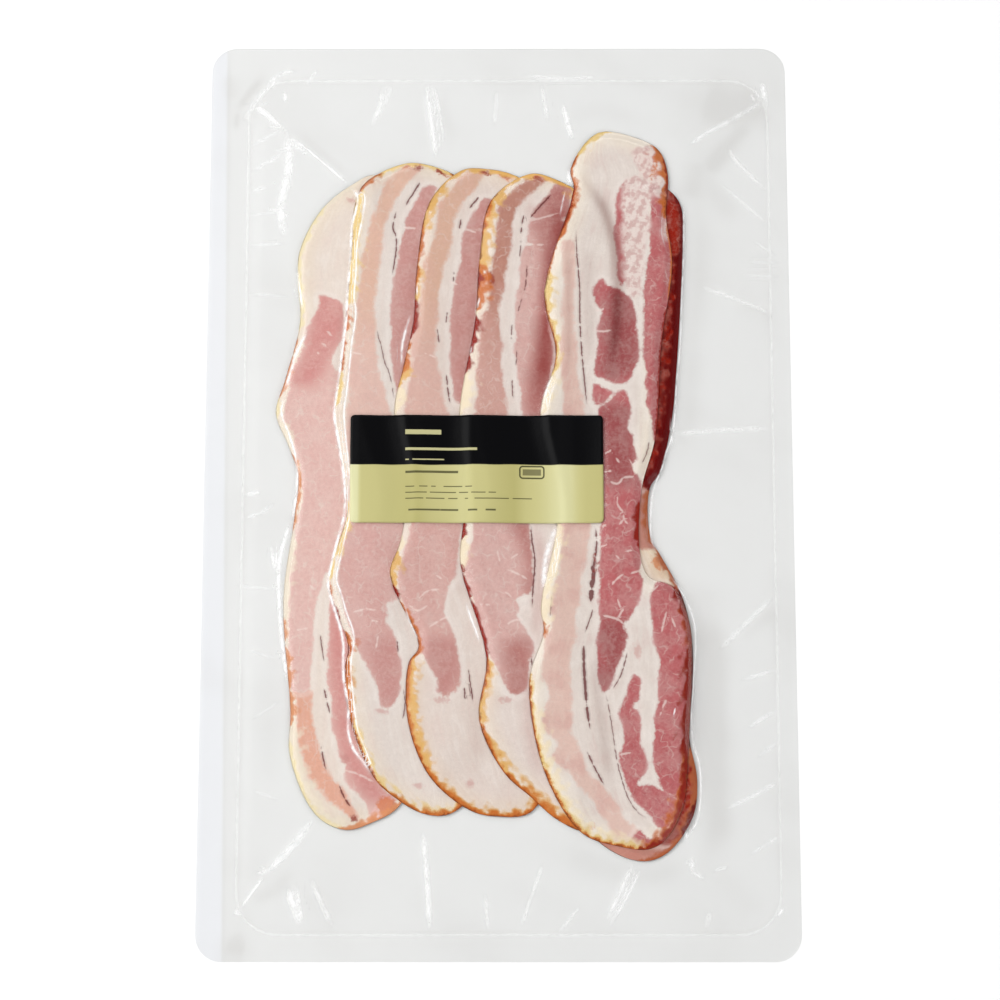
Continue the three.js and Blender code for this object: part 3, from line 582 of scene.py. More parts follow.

# Painted shade and shadow on the film, soft grey beside the slices and in its folds: a traced line, half its
# width in pixels and its strength
FILM_SHADES = [
    ([(694, 190), (700, 250), (694, 320), (690, 400), (676, 470)], 12, 0.35),
    ([(706, 600), (714, 660), (714, 720), (716, 790), (718, 830), (704, 870)], 14, 0.75),
    ([(704, 176), (728, 146), (752, 120)], 10, 0.75), ([(690, 200), (700, 160)], 14, 0.5),
    ([(700, 100), (740, 108), (765, 96)], 24, 0.85), ([(690, 160), (722, 200), (736, 222)], 12, 0.35),
    ([(238, 108), (248, 94), (262, 78)], 4, 0.6), ([(236, 128), (237, 112)], 3, 0.5),
    ([(228, 74), (232, 100)], 9, 0.35), ([(224, 946), (246, 950)], 10, 0.6), ([(232, 936), (240, 946)],
    8, 0.5),
    ([(296, 130), (318, 150), (350, 176)], 4, 0.35), ([(700, 850), (730, 880), (760, 920)], 16, 0.2),
    ([(560, 850), (600, 866), (650, 876), (690, 860)], 12, 0.35), ([(250, 900), (272, 892), (292, 870)],
    6, 0.3),
    ([(315, 880), (326, 915), (330, 932)], 4, 0.3),
    ([(735, 300), (776, 320)], 6, 0.25), ([(740, 640), (776, 610)], 6, 0.25), ([(440, 90), (452, 140)],
    6, 0.3),
    ([(268, 640), (268, 740), (276, 800)], 8, 0.15), ([(640, 120), (600, 110), (560, 120)], 10, 0.2),
]


def on_pack(pixels, height):
    """Points of the photograph as (x, y) in millimetres, at a height over the table."""
    pixels = np.asarray(pixels, float)
    across = (pixels[:, 0] - PHOTO_SIZE / 2) / FOCAL_PIXELS
    upwards = (PHOTO_SIZE / 2 - pixels[:, 1]) / FOCAL_PIXELS
    rays = np.outer(across, [1.0, 0.0, 0.0]) + np.outer(upwards, CAMERA_UP) - CAMERA_BACK
    reach = (height - CAMERA_PLACE[2]) / rays[:, 2]
    return (CAMERA_PLACE + rays * reach[:, None])[:, :2]


def smoothstep(low, high, value):
    t = np.clip((value - low) / (high - low), 0.0, 1.0)
    return t * t * (3.0 - 2.0 * t)


def rounded_path(points, closed, per_span=6):
    """A centripetal Catmull-Rom curve through the points."""
    points = np.asarray(points, float)
    count = len(points)
    if count < 3 and not closed:
        return points
    spans = count if closed else count - 1

    def corner(i):
        if closed:
            return points[i % count]
        if i < 0:
            return 2 * points[0] - points[1]
        if i >= count:
            return 2 * points[-1] - points[-2]
        return points[i]

    curve = []
    for i in range(spans):
        p0, p1, p2, p3 = (corner(i + k) for k in (-1, 0, 1, 2))
        t0 = 0.0
        t1 = t0 + max(np.linalg.norm(p1 - p0), 1e-6) ** 0.5
        t2 = t1 + max(np.linalg.norm(p2 - p1), 1e-6) ** 0.5
        t3 = t2 + max(np.linalg.norm(p3 - p2), 1e-6) ** 0.5
        for t in np.linspace(t1, t2, per_span, endpoint=False):
            a1 = (t1 - t) / (t1 - t0) * p0 + (t - t0) / (t1 - t0) * p1
            a2 = (t2 - t) / (t2 - t1) * p1 + (t - t1) / (t2 - t1) * p2
            a3 = (t3 - t) / (t3 - t2) * p2 + (t - t2) / (t3 - t2) * p3
            b1 = (t2 - t) / (t2 - t0) * a1 + (t - t0) / (t2 - t0) * a2
            b2 = (t3 - t) / (t3 - t1) * a2 + (t - t1) / (t3 - t1) * a3
            curve.append((t2 - t) / (t2 - t1) * b1 + (t - t1) / (t2 - t1) * b2)
    if not closed:
        curve.append(points[-1])
    return np.array(curve)


TRACE_STEPS = 4


def traced_path(traced, height):
    """A smooth open path through points of the photograph, in millimetres at a height."""
    return rounded_path(on_pack(traced, height), closed=False, per_span=TRACE_STEPS)


def path_length(path):
    return float(np.hypot(*np.diff(path, axis=0).T).sum())


def path_distance(points, path, closed=False):
    """Distance to a path, which side of it (+1 is its left), and how far along it."""
    ends = np.roll(path, -1, axis=0) if closed else path[1:]
    starts = path if closed else path[:-1]
    nearest = np.full(len(points), np.inf)
    side = np.ones(len(points))
    along = np.zeros(len(points))
    run = 0.0
    for start, end in zip(starts, ends):
        step = end - start
        length = float(np.hypot(*step))
        if length < 1e-9:
            continue
        offset = points - start
        t = np.clip(offset @ step / length ** 2, 0.0, 1.0)
        gap = np.hypot(offset[:, 0] - t * step[0], offset[:, 1] - t * step[1])
        closer = gap < nearest
        nearest = np.where(closer, gap, nearest)
        turn = np.sign(step[0] * offset[:, 1] - step[1] * offset[:, 0])
        side = np.where(closer, turn, side)
        along = np.where(closer, run + t * length, along)
        run += length
    return nearest, side, along


def inside(points, loop):
    """Whether each point lies inside a closed loop."""
    result = np.zeros(len(points), bool)
    x, y = points[:, 0], points[:, 1]
    for (ax, ay), (bx, by) in zip(loop, np.roll(loop, -1, axis=0)):
        if ay == by:
            continue
        crosses = ((ay > y) != (by > y)) & (x < ax + (bx - ax) * (y - ay) / (by - ay))
        result ^= crosses
    return result


def loop_depth(points, loop):
    """Signed distance to a closed loop, positive inside it."""
    gap = path_distance(points, loop, closed=True)[0]
    return np.where(inside(points, loop), gap, -gap)


OUTLINE_STEPS = 5
MIDDLE_POINTS = 60


def slice_outline(name):
    edge = SLICES[name]["edge"]
    corners = list(edge)
    if SLICES[name]["covered"]:
        falling = sorted(edge, key=lambda point: point[1])
        ys = [point[1] for point in falling]
        xs = [point[0] for point in falling]
        for y in range(-COVERED_SIDE_REACH, COVERED_SIDE_REACH + 1, COVERED_SIDE_STEP):
            corners.append((float(np.interp(y, ys, xs)) + COVERED_SLICE_WIDTH, y))
    return rounded_path(corners, closed=True, per_span=OUTLINE_STEPS)


OUTLINES = {name: slice_outline(name) for name in SLICES}


def split_outline(outline):
    """The left and right chains of an outline, both from its top point to its bottom point."""
    top = int(np.argmax(outline[:, 1]))
    loop = np.roll(outline, -top, axis=0)
    bottom = int(np.argmin(loop[:, 1]))
    left = loop[:bottom + 1]
    right = np.vstack([loop[bottom:], loop[:1]])[::-1]
    return left, right


def evenly(chain, count):
    """Points spread evenly along a chain."""
    steps = np.hypot(*np.diff(chain, axis=0).T)
    run = np.concatenate([[0.0], np.cumsum(steps)])
    places = np.linspace(0.0, run[-1], count)
    return np.column_stack([np.interp(places, run, chain[:, i]) for i in (0, 1)])


def middle_line(name):
    left, right = split_outline(OUTLINES[name])
    middle = (evenly(left, MIDDLE_POINTS) + evenly(right, MIDDLE_POINTS)) / 2
    order = np.argsort(middle[:, 1])
    return middle[order]


MIDDLES = {name: middle_line(name) for name in SLICES}


def cover(name, points):
    """How much of a layer's height a slice gives at each point: 1 on it, 0 well outside it."""
    outline = OUTLINES[name]
    depth = loop_depth(points, outline)
    middle = MIDDLES[name]
    from_middle = points[:, 0] - np.interp(points[:, 1], middle[:, 1], middle[:, 0])
    to_right = smoothstep(-SIDE_BLEND, SIDE_BLEND, from_middle)
    top, bottom = outline[:, 1].max(), outline[:, 1].min()
    to_end = 1.0 - smoothstep(0.0, END_BLEND, np.minimum(top - points[:, 1], points[:, 1] - bottom))
    reach = STEP_REACH[name]
    outwards, inwards = (
        (reach["left"][i] * (1 - to_right) + reach["right"][i] * to_right) * (1 - to_end)
        + reach["end"][i] * to_end
        for i in (0, 1))
    return smoothstep(-outwards, inwards, depth), depth


def stack_height(points, below=None):
    """Height of the stack at each point, up to but without the slice named by below."""
    height = np.full(len(points), LOWER_FILM)
    for name in SLICES:
        if name == below:
            break
        height = height + LAYER_HEIGHT * cover(name, points)[0]
    return height


# Waves in an octave, how their lengths spread, and how much shorter and weaker the next octave is
WAVE_COUNT = 5
WAVE_SPREAD = (0.7, 1.4)
OCTAVE_RATIO = 1.8
OCTAVE_FADE = 0.55


def wave_noise(points, wavelength, seed, octaves=3):
    """Smooth seeded noise about zero, from a few crossing waves."""
    random = np.random.default_rng(seed)
    total = np.zeros(len(points))
    for octave in range(octaves):
        for _ in range(WAVE_COUNT):
            angle = random.uniform(0, 2 * math.pi)
            phase = random.uniform(0, 2 * math.pi)
            length = wavelength * random.uniform(*WAVE_SPREAD) / OCTAVE_RATIO ** octave
            across = points[:, 0] * math.cos(angle) + points[:, 1] * math.sin(angle)
            total += np.sin(2 * math.pi * across / length + phase) * OCTAVE_FADE ** octave / WAVE_COUNT
    return total


def rounded_rectangle(left, right, bottom, top, radius, steps=8):
    corners = [(right - radius, top - radius, 0), (left + radius, top - radius, 90),
               (left + radius, bottom + radius, 180), (right - radius, bottom + radius, 270)]
    loop = []
    for x, y, start in corners:
        for i in range(steps + 1):
            angle = math.radians(start + 90 * i / steps)
            loop.append((x + radius * math.cos(angle), y + radius * math.sin(angle)))
    return np.array(loop)


PACK_LOOP = rounded_rectangle(-PACK_WIDTH / 2, PACK_WIDTH / 2, -PACK_LENGTH / 2, PACK_LENGTH / 2, PACK_CORNER)
POCKET_LOOP = rounded_rectangle(POCKET["left"], POCKET["right"], POCKET["bottom"], POCKET["top"],
POCKET_CORNER)
# The upper film on the flat seal and inside the pocket, and its gap to what it lies on
FILM_FLAT = 0.2
FILM_POCKET = 0.85
FILM_GAP = 0.22
POCKET_SLOPE = 6.0
# How far above the lower film it takes to lie wholly on the slices
LIFT_HEIGHT = 0.9
# Waves of the film, and between which distances from the pocket's edge they grow
BROAD_WAVE = {"height": 0.22, "length": 42.0, "seed": 5, "grow": (2.0, 14.0)}
SHORT_WAVE = {"height": 0.05, "length": 17.0, "seed": 9, "grow": (0.0, 8.0)}
# Folds: how far out they are looked for in half widths, how much of them tapers, and how steep they are
RIDGE_MARGIN = 4
RIDGE_TAPER = 0.25
RIDGE_STEEPNESS = 1.4
FILM_TRACE_HEIGHT = 1.0


def film_wave(points, in_pocket, wave):
    grown = smoothstep(*wave["grow"], in_pocket)
    return wave["height"] * grown * wave_noise(points, wave["length"], wave["seed"])


def film_height(points, with_ridges=True):
    """Height of the upper film."""
    in_pocket = loop_depth(points, POCKET_LOOP)
    base = FILM_FLAT + (FILM_POCKET - FILM_FLAT) * smoothstep(0.0, POCKET_SLOPE, in_pocket)
    base = base + film_wave(points, in_pocket, BROAD_WAVE)
    stack = stack_height(points) + FILM_GAP
    lift = smoothstep(LOWER_FILM + FILM_GAP, LOWER_FILM + FILM_GAP + LIFT_HEIGHT, stack)
    height = base * (1 - lift) + np.maximum(stack, base) * lift
    height = height + film_wave(points, in_pocket, SHORT_WAVE)
    if with_ridges:
        height = height + ridge_height(points)
    return height


def ridge_height(points):
    """How far the folds of the film stand up."""
    total = np.zeros(len(points))
    for traced, half_width, rise in RIDGES:
        path = rounded_path(on_pack(traced, FILM_TRACE_HEIGHT), closed=False)
        near = close_to(points, path, RIDGE_MARGIN * half_width)
        if not len(near):
            continue
        gap, _, along = path_distance(points[near], path)
        profile = np.exp(-(gap / half_width) ** 2 * RIDGE_STEEPNESS)
        total[near] = np.maximum(total[near], rise * end_taper(path, along, RIDGE_TAPER) * profile)
    return total


def close_to(points, path, margin):
    """Which points lie in the box round a path, with a margin."""
    low = path.min(0) - margin
    high = path.max(0) + margin
    return np.flatnonzero(np.all((points > low) & (points < high), axis=1))


def end_taper(path, along, share):
    """1 along the middle of a path, falling to 0 at its ends."""
    length = path_length(path)
    return smoothstep(0.0, share * length, along) * smoothstep(0.0, share * length, length - along)


def make_mesh(name, vertices, faces, smooth=True):
    mesh = bpy.data.meshes.new(name)
    mesh.from_pydata((np.asarray(vertices) * MM).tolist(), [], faces)
    mesh.update()
    if smooth:
        mesh.polygons.foreach_set("use_smooth", [True] * len(mesh.polygons))
    piece = bpy.data.objects.new(name, mesh)
    bpy.context.scene.collection.objects.link(piece)
    return piece


def store(piece, name, *values):
    """Keeps one or three numbers for each vertex, for the material to read."""
    mesh = piece.data
    if len(values) == 1:
        layer = mesh.attributes.new(name, "FLOAT", "POINT")
        layer.data.foreach_set("value", np.asarray(values[0], np.float32))
    else:
        layer = mesh.attributes.new(name, "FLOAT_VECTOR", "POINT")
        layer.data.foreach_set("vector", np.column_stack(values).astype(np.float32).ravel())


def shape_loop(shape, height):
    """A closed outline from (x, y) corners in the photograph, or from stations of (y, left x, right x)."""
    if len(shape[0]) == 3:
        left = [(x, y) for y, x, _ in shape]
        right = [(x, y) for y, _, x in reversed(shape)]
        shape = left + right
    return rounded_path(on_pack(shape, height), closed=True, per_span=TRACE_STEPS)


# No distance is kept beyond this
FAR = 8.0


def shapes_depth(points, shapes, height):
    """Signed distance to the nearest of several closed shapes, positive inside."""
    depth = np.full(len(points), -FAR)
    for shape in shapes:
        loop = shape_loop(shape, height)
        near = close_to(points, loop, FAR)
        depth[near] = np.maximum(depth[near], loop_depth(points[near], loop))
    return np.clip(depth, -FAR, FAR)


# Thin lines: where they fade with distance, how much of them tapers, and how far apart their places are
LINE_REACH = (1.5, 0.7)
LINE_TAPER = 0.16
LINE_SPACING = 37.0


def lines_field(points, lines, height):
    """For thin lines: signed distance, how strong the nearest one is, and the place along it."""
    signed = np.full(len(points), FAR)
    plain = np.full(len(points), FAR)
    strength = np.zeros(len(points))
    place = np.zeros(len(points))
    for i, (traced, weight) in enumerate(lines):
        path = traced_path(traced, height)
        near = close_to(points, path, FAR)
        gap, side, along = path_distance(points[near], path)
        closer = gap < plain[near]
        chosen = near[closer]
        signed[chosen] = (gap * side)[closer]
        plain[chosen] = gap[closer]
        strength[chosen] = weight * end_taper(path, along, LINE_TAPER)[closer]
        place[chosen] = LINE_SPACING * i + along[closer]
    return signed, strength * smoothstep(*LINE_REACH, plain), place


# Painted highlight lines of the film, partly whitened creases: how far out they are looked for and where
# they fade, in half widths, and how long their tapers are, in millimetres and as a share of the line at most
STREAK_MARGIN = 4
STREAK_FADE = (3.6, 2.4)
STREAK_TAPER = 6.0
MOST_TAPER = 0.35


def crease_and_highlight_field(points):
    """For the film's painted highlights and whitened creases: distance over half the width, signed, and
    strength.
    """
    across = np.full(len(points), FAR)
    strength = np.zeros(len(points))
    for traced, height, half_width, power in CREASE_AND_HIGHLIGHT_STREAKS:
        path = traced_path(traced, height)
        near = close_to(points, path, STREAK_MARGIN * half_width)
        gap, side, along = path_distance(points[near], path)
        share = gap / half_width
        taper = end_taper(path, along, min(MOST_TAPER, STREAK_TAPER / path_length(path)))
        closer = share < np.abs(across[near])
        chosen = near[closer]
        across[chosen] = (share * side)[closer]
        strength[chosen] = (power * taper * smoothstep(*STREAK_FADE, share))[closer]
    return across, strength


STROKE_MARGIN = 2.5
STROKE_TAPER = 0.2
STROKE_END = 0.25


def soft_strokes(points, strokes, height):
    """Soft-edged strokes, from 0 to their strength, weaker towards their ends."""
    total = np.zeros(len(points))
    for traced, half_width, power in strokes:
        path = traced_path(traced, height)
        reach = half_width * PIXEL
        near = close_to(points, path, STROKE_MARGIN * reach)
        gap, _, along = path_distance(points[near], path)
        taper = STROKE_END + (1 - STROKE_END) * end_taper(path, along, STROKE_TAPER)
        total[near] = np.maximum(total[near], power * taper * np.exp(-(gap / reach) ** 2))
    return total


RIM_KINDS = ("yellow", "orange", "red", "cream")
# How softly a rim ends along the edge, and how wide the change from the left rims to the right ones is
RIM_FADE = 4.0
RIM_BLEND = 5.0


def rim_widths(name, points, height):
    """Width of each kind of coloured rim beside the nearest edge, at each point."""
    middle = MIDDLES[name]
    from_middle = points[:, 0] - np.interp(points[:, 1], middle[:, 1], middle[:, 0])
    to_right = smoothstep(-RIM_BLEND, RIM_BLEND, from_middle) * (name in RIGHT_RIMS)
    widths = {kind: np.zeros(len(points)) for kind in RIM_KINDS}
    for rims, share in ((LEFT_RIMS, 1 - to_right), (RIGHT_RIMS, to_right)):
        for kind, start, end, width in rims.get(name, []):
            high, low = on_pack([(PHOTO_SIZE / 2, start), (PHOTO_SIZE / 2, end)], height)[:, 1]
            shape = smoothstep(low - RIM_FADE / 2, low + RIM_FADE, points[:, 1])
            shape = shape * (1 - smoothstep(high - RIM_FADE, high + RIM_FADE / 2, points[:, 1]))
            widths[kind] = np.maximum(widths[kind], width * shape * share)
    return widths


def spots_depth(points, spots, kind, height):
    """Positive inside small turned ovals of one kind, in millimetres."""
    depth = np.full(len(points), -FAR)
    for spot_kind, x, y, half_width, half_height, turn in spots:
        if spot_kind != kind:
            continue
        offset = points - on_pack([(x, y)], height)[0]
        cosine, sine = math.cos(math.radians(turn)), math.sin(math.radians(turn))
        across = (offset[:, 0] * cosine - offset[:, 1] * sine) / (half_width * PIXEL)
        upwards = (offset[:, 0] * sine + offset[:, 1] * cosine) / (half_height * PIXEL)
        inner = (1 - np.hypot(across, upwards)) * min(half_width, half_height) * PIXEL
        depth = np.maximum(depth, inner)
    return depth


SLICE_ROWS = 370
SLICE_COLUMNS = 80
# How much closer together the columns are beside the edges
COLUMN_BUNCHING = 0.06
# The length and width that the grain of the meat is laid out on
GRAIN_LENGTH = 250.0
# Height over what the slice lies on, thickness, and how far its side bulges
SLICE_LIFT = 0.12
SLICE_RISE = 1.56
EDGE_BULGE = 0.12
# Unevenness of the top: height, wavelength, and between which distances from the edge it grows
RELIEF_HEIGHT = 0.05
RELIEF_WAVELENGTH = 9.0
RELIEF_GROW = (0.5, 3.0)
UNDERSIDE_STEP = 3.5


def slice_grid(name):
    """Rows of points between the two sides of a slice, closer together beside the edges."""
    left, right = split_outline(OUTLINES[name])
    left = evenly(left, SLICE_ROWS + 2)[1:-1]
    right = evenly(right, SLICE_ROWS + 2)[1:-1]
    u = np.linspace(0.0, 1.0, SLICE_COLUMNS)
    u = u - COLUMN_BUNCHING * np.sin(2 * math.pi * u)
    grid = left[:, None, :] * (1 - u)[None, :, None] + right[:, None, :] * u[None, :, None]
    run = np.linspace(0.0, GRAIN_LENGTH, SLICE_ROWS)
    grain = np.stack(np.meshgrid(run, u * COVERED_SLICE_WIDTH, indexing="ij"), axis=-1)
    return grid, grain


def build_slice(name):
    """A slice as a closed sheet: a fine top, a thin rounded side and a coarser underside."""
    grid, grain = slice_grid(name)
    outline = OUTLINES[name]
    poles = [outline[np.argmax(outline[:, 1])], outline[np.argmin(outline[:, 1])]]
    flat = np.vstack([grid.reshape(-1, 2), poles])
    share, depth = cover(name, flat)
    base = stack_height(flat, below=name) + SLICE_LIFT
    waves = wave_noise(flat, RELIEF_WAVELENGTH, seed_of(name))
    top = base + SLICE_RISE * share + RELIEF_HEIGHT * waves * smoothstep(*RELIEF_GROW, depth)
    faces, rim = top_faces(*grid.shape[:2])
    count = len(flat)
    bulged = flat[rim] + outward(flat[rim]) * EDGE_BULGE
    side = np.column_stack([bulged, (top[rim] + base[rim]) / 2])
    under, under_faces = underside(name, flat[rim], base[rim], count + len(rim))
    for i in range(len(rim)):
        j = (i + 1) % len(rim)
        faces.append((rim[i], rim[j], count + j, count + i))
        low_i, low_j = count + len(rim) + i, count + len(rim) + j
        faces.append((count + i, count + j, low_j, low_i))
    vertices = np.vstack([np.column_stack([flat, top]), side, under])
    piece = make_mesh("bacon_" + name, vertices, faces + under_faces)
    places = vertices[:, :2]
    depths = np.concatenate([depth, np.full(len(rim), -EDGE_BULGE), loop_depth(under[:, :2], outline)])
    paint_slice(piece, name, places, depths)
    unused = np.zeros(len(vertices) - grid.shape[0] * grid.shape[1])
    along, across = (np.concatenate([grain[..., i].ravel(), unused]) for i in (0, 1))
    store(piece, "grain", across, along, np.zeros(len(places)))
    return piece


def top_faces(rows, columns):
    """Faces over rows of points, closed by a fan to a pole at each end, and the rim round them."""
    first, last = rows * columns, rows * columns + 1
    faces = []
    for r in range(rows - 1):
        for c in range(columns - 1):
            start = r * columns + c
            faces.append((start, start + columns, start + columns + 1, start + 1))
    for c in range(columns - 1):
        faces.append((first, c, c + 1))
        faces.append((last, (rows - 1) * columns + c + 1, (rows - 1) * columns + c))
    left = [r * columns for r in range(rows)]
    right = [r * columns + columns - 1 for r in range(rows)]
    return faces, [first] + left + [last] + right[::-1]


def underside(name, ring, ring_height, first):
    """A coarse sheet inside a ring, whose own points keep their order and come first."""
    outline = OUTLINES[name]
    xs = np.arange(outline[:, 0].min(), outline[:, 0].max(), UNDERSIDE_STEP)
    ys = np.arange(outline[:, 1].min(), outline[:, 1].max(), UNDERSIDE_STEP)
    inner = np.array([(x, y) for x in xs for y in ys])
    inner = inner[loop_depth(inner, outline) > UNDERSIDE_STEP / 2]
    inner_height = stack_height(inner, below=name) + SLICE_LIFT
    faces = fill_ring(ring, inner)
    vertices = np.vstack([np.column_stack([ring, ring_height]), np.column_stack([inner, inner_height])])
    return vertices, [tuple(first + i for i in reversed(face)) for face in faces]


def fill_ring(ring, inner):
    """Triangles over a counter-clockwise ring and the points inside it."""
    points = [Vector(point) for point in np.vstack([ring, inner]).tolist()]
    count = len(ring)
    edges = [(i, (i + 1) % count) for i in range(count)]
    result = delaunay_2d_cdt(points, edges, [], 1, 1e-6)
    sources = [origin[0] for origin in result[3]]
    return [tuple(sources[i] for i in face) for face in result[2]]


def outward(loop):
    """Unit directions out of a counter-clockwise loop."""
    along = np.roll(loop, -1, axis=0) - np.roll(loop, 1, axis=0)
    across = np.column_stack([along[:, 1], -along[:, 0]])
    return across / np.maximum(np.hypot(*across.T), 1e-9)[:, None]


def seed_of(name):
    return sum(ord(letter) for letter in name)


# Depth of a noise about zero, and wavelengths in millimetres: of broad patches, veined ones and rims
NOISE_DEPTH = 0.34
CLOUD_WAVELENGTHS = (12, 7, 5)
# How the net of veins is bent
MARBLE_BEND = 1.3
MARBLE_WAVELENGTH = 4.0
MARBLE_SEED = 50
MARBLE_OCTAVES = 2
SPOT_KINDS = ("red", "orange", "pink")


def paint_slice(piece, name, places, depth):
    """Keeps on the mesh what its material reads: where the tissues, lines, rims and spots are."""
    height = SLICES[name]["height"]
    bands = (shapes_depth(places, shapes[name], height) for shapes in (PALE_BANDS, LEAN_BANDS, DEEP_BANDS))
    store(piece, "tissue", *bands)
    store(piece, "seam", *lines_field(places, SEAMS[name], height))
    store(piece, "thread", *lines_field(places, [(line, 1.0) for line in THREADS[name]], height))
    widths = rim_widths(name, places, height)
    store(piece, "rim", widths["yellow"], widths["orange"], widths["red"])
    store(piece, "cream", widths["cream"])
    store(piece, "edge", depth)
    store(piece, "spot", *(spots_depth(places, SPOTS[name], kind, height) for kind in SPOT_KINDS))
    store(piece, "shade", soft_strokes(places, SHADES[name], height))
    store(piece, "mottled", shapes_depth(places, MOTTLED[name], height))
    seed = seed_of(name)
    clouds = (wave_noise(places, length, seed + length) for length in CLOUD_WAVELENGTHS)
    store(piece, "cloud", *(NOISE_DEPTH * cloud for cloud in clouds))
    bends = (wave_noise(places, MARBLE_WAVELENGTH, seed + MARBLE_SEED + i, MARBLE_OCTAVES) for i in (0, 1))
    bent = [places[:, i] + MARBLE_BEND * bend for i, bend in enumerate(bends)]
    store(piece, "marble", *bent, np.zeros(len(places)))


FAINT_MIRROR = 0.08


class Nodes:
    """Short ways to add shader nodes to a new material."""

    def __init__(self, name):
        self.material = bpy.data.materials.new(name)
        self.material.use_nodes = True
        self.tree = self.material.node_tree
        self.tree.nodes.clear()
        self.output = self.tree.nodes.new("ShaderNodeOutputMaterial")

    def add(self, kind, **settings):
        node = self.tree.nodes.new(kind)
        for key, value in settings.items():
            setattr(node, key, value)
        return node

    def join(self, source, target):
        self.tree.links.new(source, target)

    def put(self, target, value):
        if isinstance(value, bpy.types.NodeSocket):
            self.join(value, target)
        else:
            target.default_value = value

    def math(self, operation, a, b=0.0, clamp=False):
        node = self.add("ShaderNodeMath", operation=operation, use_clamp=clamp)
        self.put(node.inputs[0], a)
        self.put(node.inputs[1], b)
        return node.outputs[0]

    def total(self, *values):
        result = values[0]
        for value in values[1:]:
            result = self.math("ADD", result, value)
        return result

    def times(self, *values):
        result = values[0]
        for value in values[1:]:
            result = self.math("MULTIPLY", result, value)
        return result

    def step(self, value, low, high):
        """0 below low and 1 above high, with a smooth change between them."""
        node = self.add("ShaderNodeMapRange", interpolation_type="SMOOTHSTEP")
        self.put(node.inputs["Value"], value)
        self.put(node.inputs["From Min"], low)
        self.put(node.inputs["From Max"], high)
        return node.outputs["Result"]

    def bell(self, value, middle, half_width):
        """1 at the middle, falling away to both sides."""
        offset = self.math("DIVIDE", self.math("SUBTRACT", value, middle), half_width)
        return self.math("EXPONENT", self.math("MULTIPLY", self.math("MULTIPLY", offset, offset), -1.0))

    def mix(self, share, a, b, blend="MIX"):
        node = self.add("ShaderNodeMix", data_type="RGBA", blend_type=blend)
        self.put(node.inputs[0], share)
        self.put(node.inputs[6], a)
        self.put(node.inputs[7], b)
        return node.outputs[2]

    def attribute(self, name):
        return self.add("ShaderNodeAttribute", attribute_name=name, attribute_type="GEOMETRY")

    def parts(self, name):
        node = self.add("ShaderNodeSeparateXYZ")
        self.join(self.attribute(name).outputs["Vector"], node.inputs[0])
        return node.outputs

    def number(self, name):
        return self.attribute(name).outputs["Fac"]

    def place(self, stretch=(1.0, 1.0, 1.0), turn=0.0, shift=(0.0, 0.0, 0.0)):
        """The point in millimetres, turned and stretched."""
        node = self.add("ShaderNodeMapping")
        self.join(self.add("ShaderNodeTexCoord").outputs["Object"], node.inputs["Vector"])
        node.inputs["Scale"].default_value = [value / MM for value in stretch]
        node.inputs["Rotation"].default_value = (0.0, 0.0, turn)
        node.inputs["Location"].default_value = shift
        return node.outputs["Vector"]

    def axis(self, index):
        """One coordinate of the point, in millimetres."""
        node = self.add("ShaderNodeSeparateXYZ")
        self.join(self.place(), node.inputs[0])
        return node.outputs[index]

    def noise(self, place, scale, detail=2.0, roughness=0.5, distortion=0.0):
        """Noise about zero, from about -0.3 to 0.3."""
        node = self.add("ShaderNodeTexNoise", noise_dimensions="2D")
        self.join(place, node.inputs["Vector"])
        node.inputs["Scale"].default_value = scale
        node.inputs["Detail"].default_value = detail
        node.inputs["Roughness"].default_value = roughness
        node.inputs["Distortion"].default_value = distortion
        return self.math("SUBTRACT", node.outputs["Fac"], 0.5)

    def bump(self, height, strength, distance):
        node = self.add("ShaderNodeBump")
        node.inputs["Strength"].default_value = strength
        node.inputs["Distance"].default_value = distance * MM
        self.join(height, node.inputs["Height"])
        return node.outputs["Normal"]

    def weighted(self, noises, weights):
        """The sum of some of the noises, each times its weight."""
        return self.total(*(self.times(noises[kind], weight) for kind, weight in weights.items()))

    def tinted(self, base, tone, noises, patches):
        """The base with patches of a tone where a sum of noises is high."""
        weights, limits, strength = patches
        share = self.step(self.weighted(noises, weights), *limits)
        return self.mix(self.times(share, strength), base, tone)

    def toned(self, base, factor, share=1.0):
        """The base times a tone, as far as the share says."""
        return self.mix(share, base, self.mix(1.0, base, factor, blend="MULTIPLY"))

    def mix_shaders(self, share, first, second):
        node = self.add("ShaderNodeMixShader")
        self.join(share, node.inputs[0])
        self.join(first.outputs[0], node.inputs[1])
        self.join(second.outputs[0], node.inputs[2])
        return node

    def printed_surface(self, tone, roughness, normal):
        """A surface of a colour that barely mirrors."""
        surface = self.add("ShaderNodeBsdfPrincipled")
        self.join(tone, surface.inputs["Base Color"])
        self.put(surface.inputs["Roughness"], roughness)
        surface.inputs["Specular IOR Level"].default_value = FAINT_MIRROR
        self.join(normal, surface.inputs["Normal"])
        return surface

    def finish(self, surface):
        self.join(surface.outputs[0], self.output.inputs["Surface"])
        return self.material


def grey(value):
    return (value, value, value, 1.0)


def colour(red, green, blue):
    """A colour given as it looks on a screen, from 0 to 255, as the renderer's own numbers."""
    def linear(value):
        value = value / 255
        return value / 12.92 if value <= 0.04045 else ((value + 0.055) / 1.055) ** 2.4
    return (linear(red), linear(green), linear(blue), 1.0)


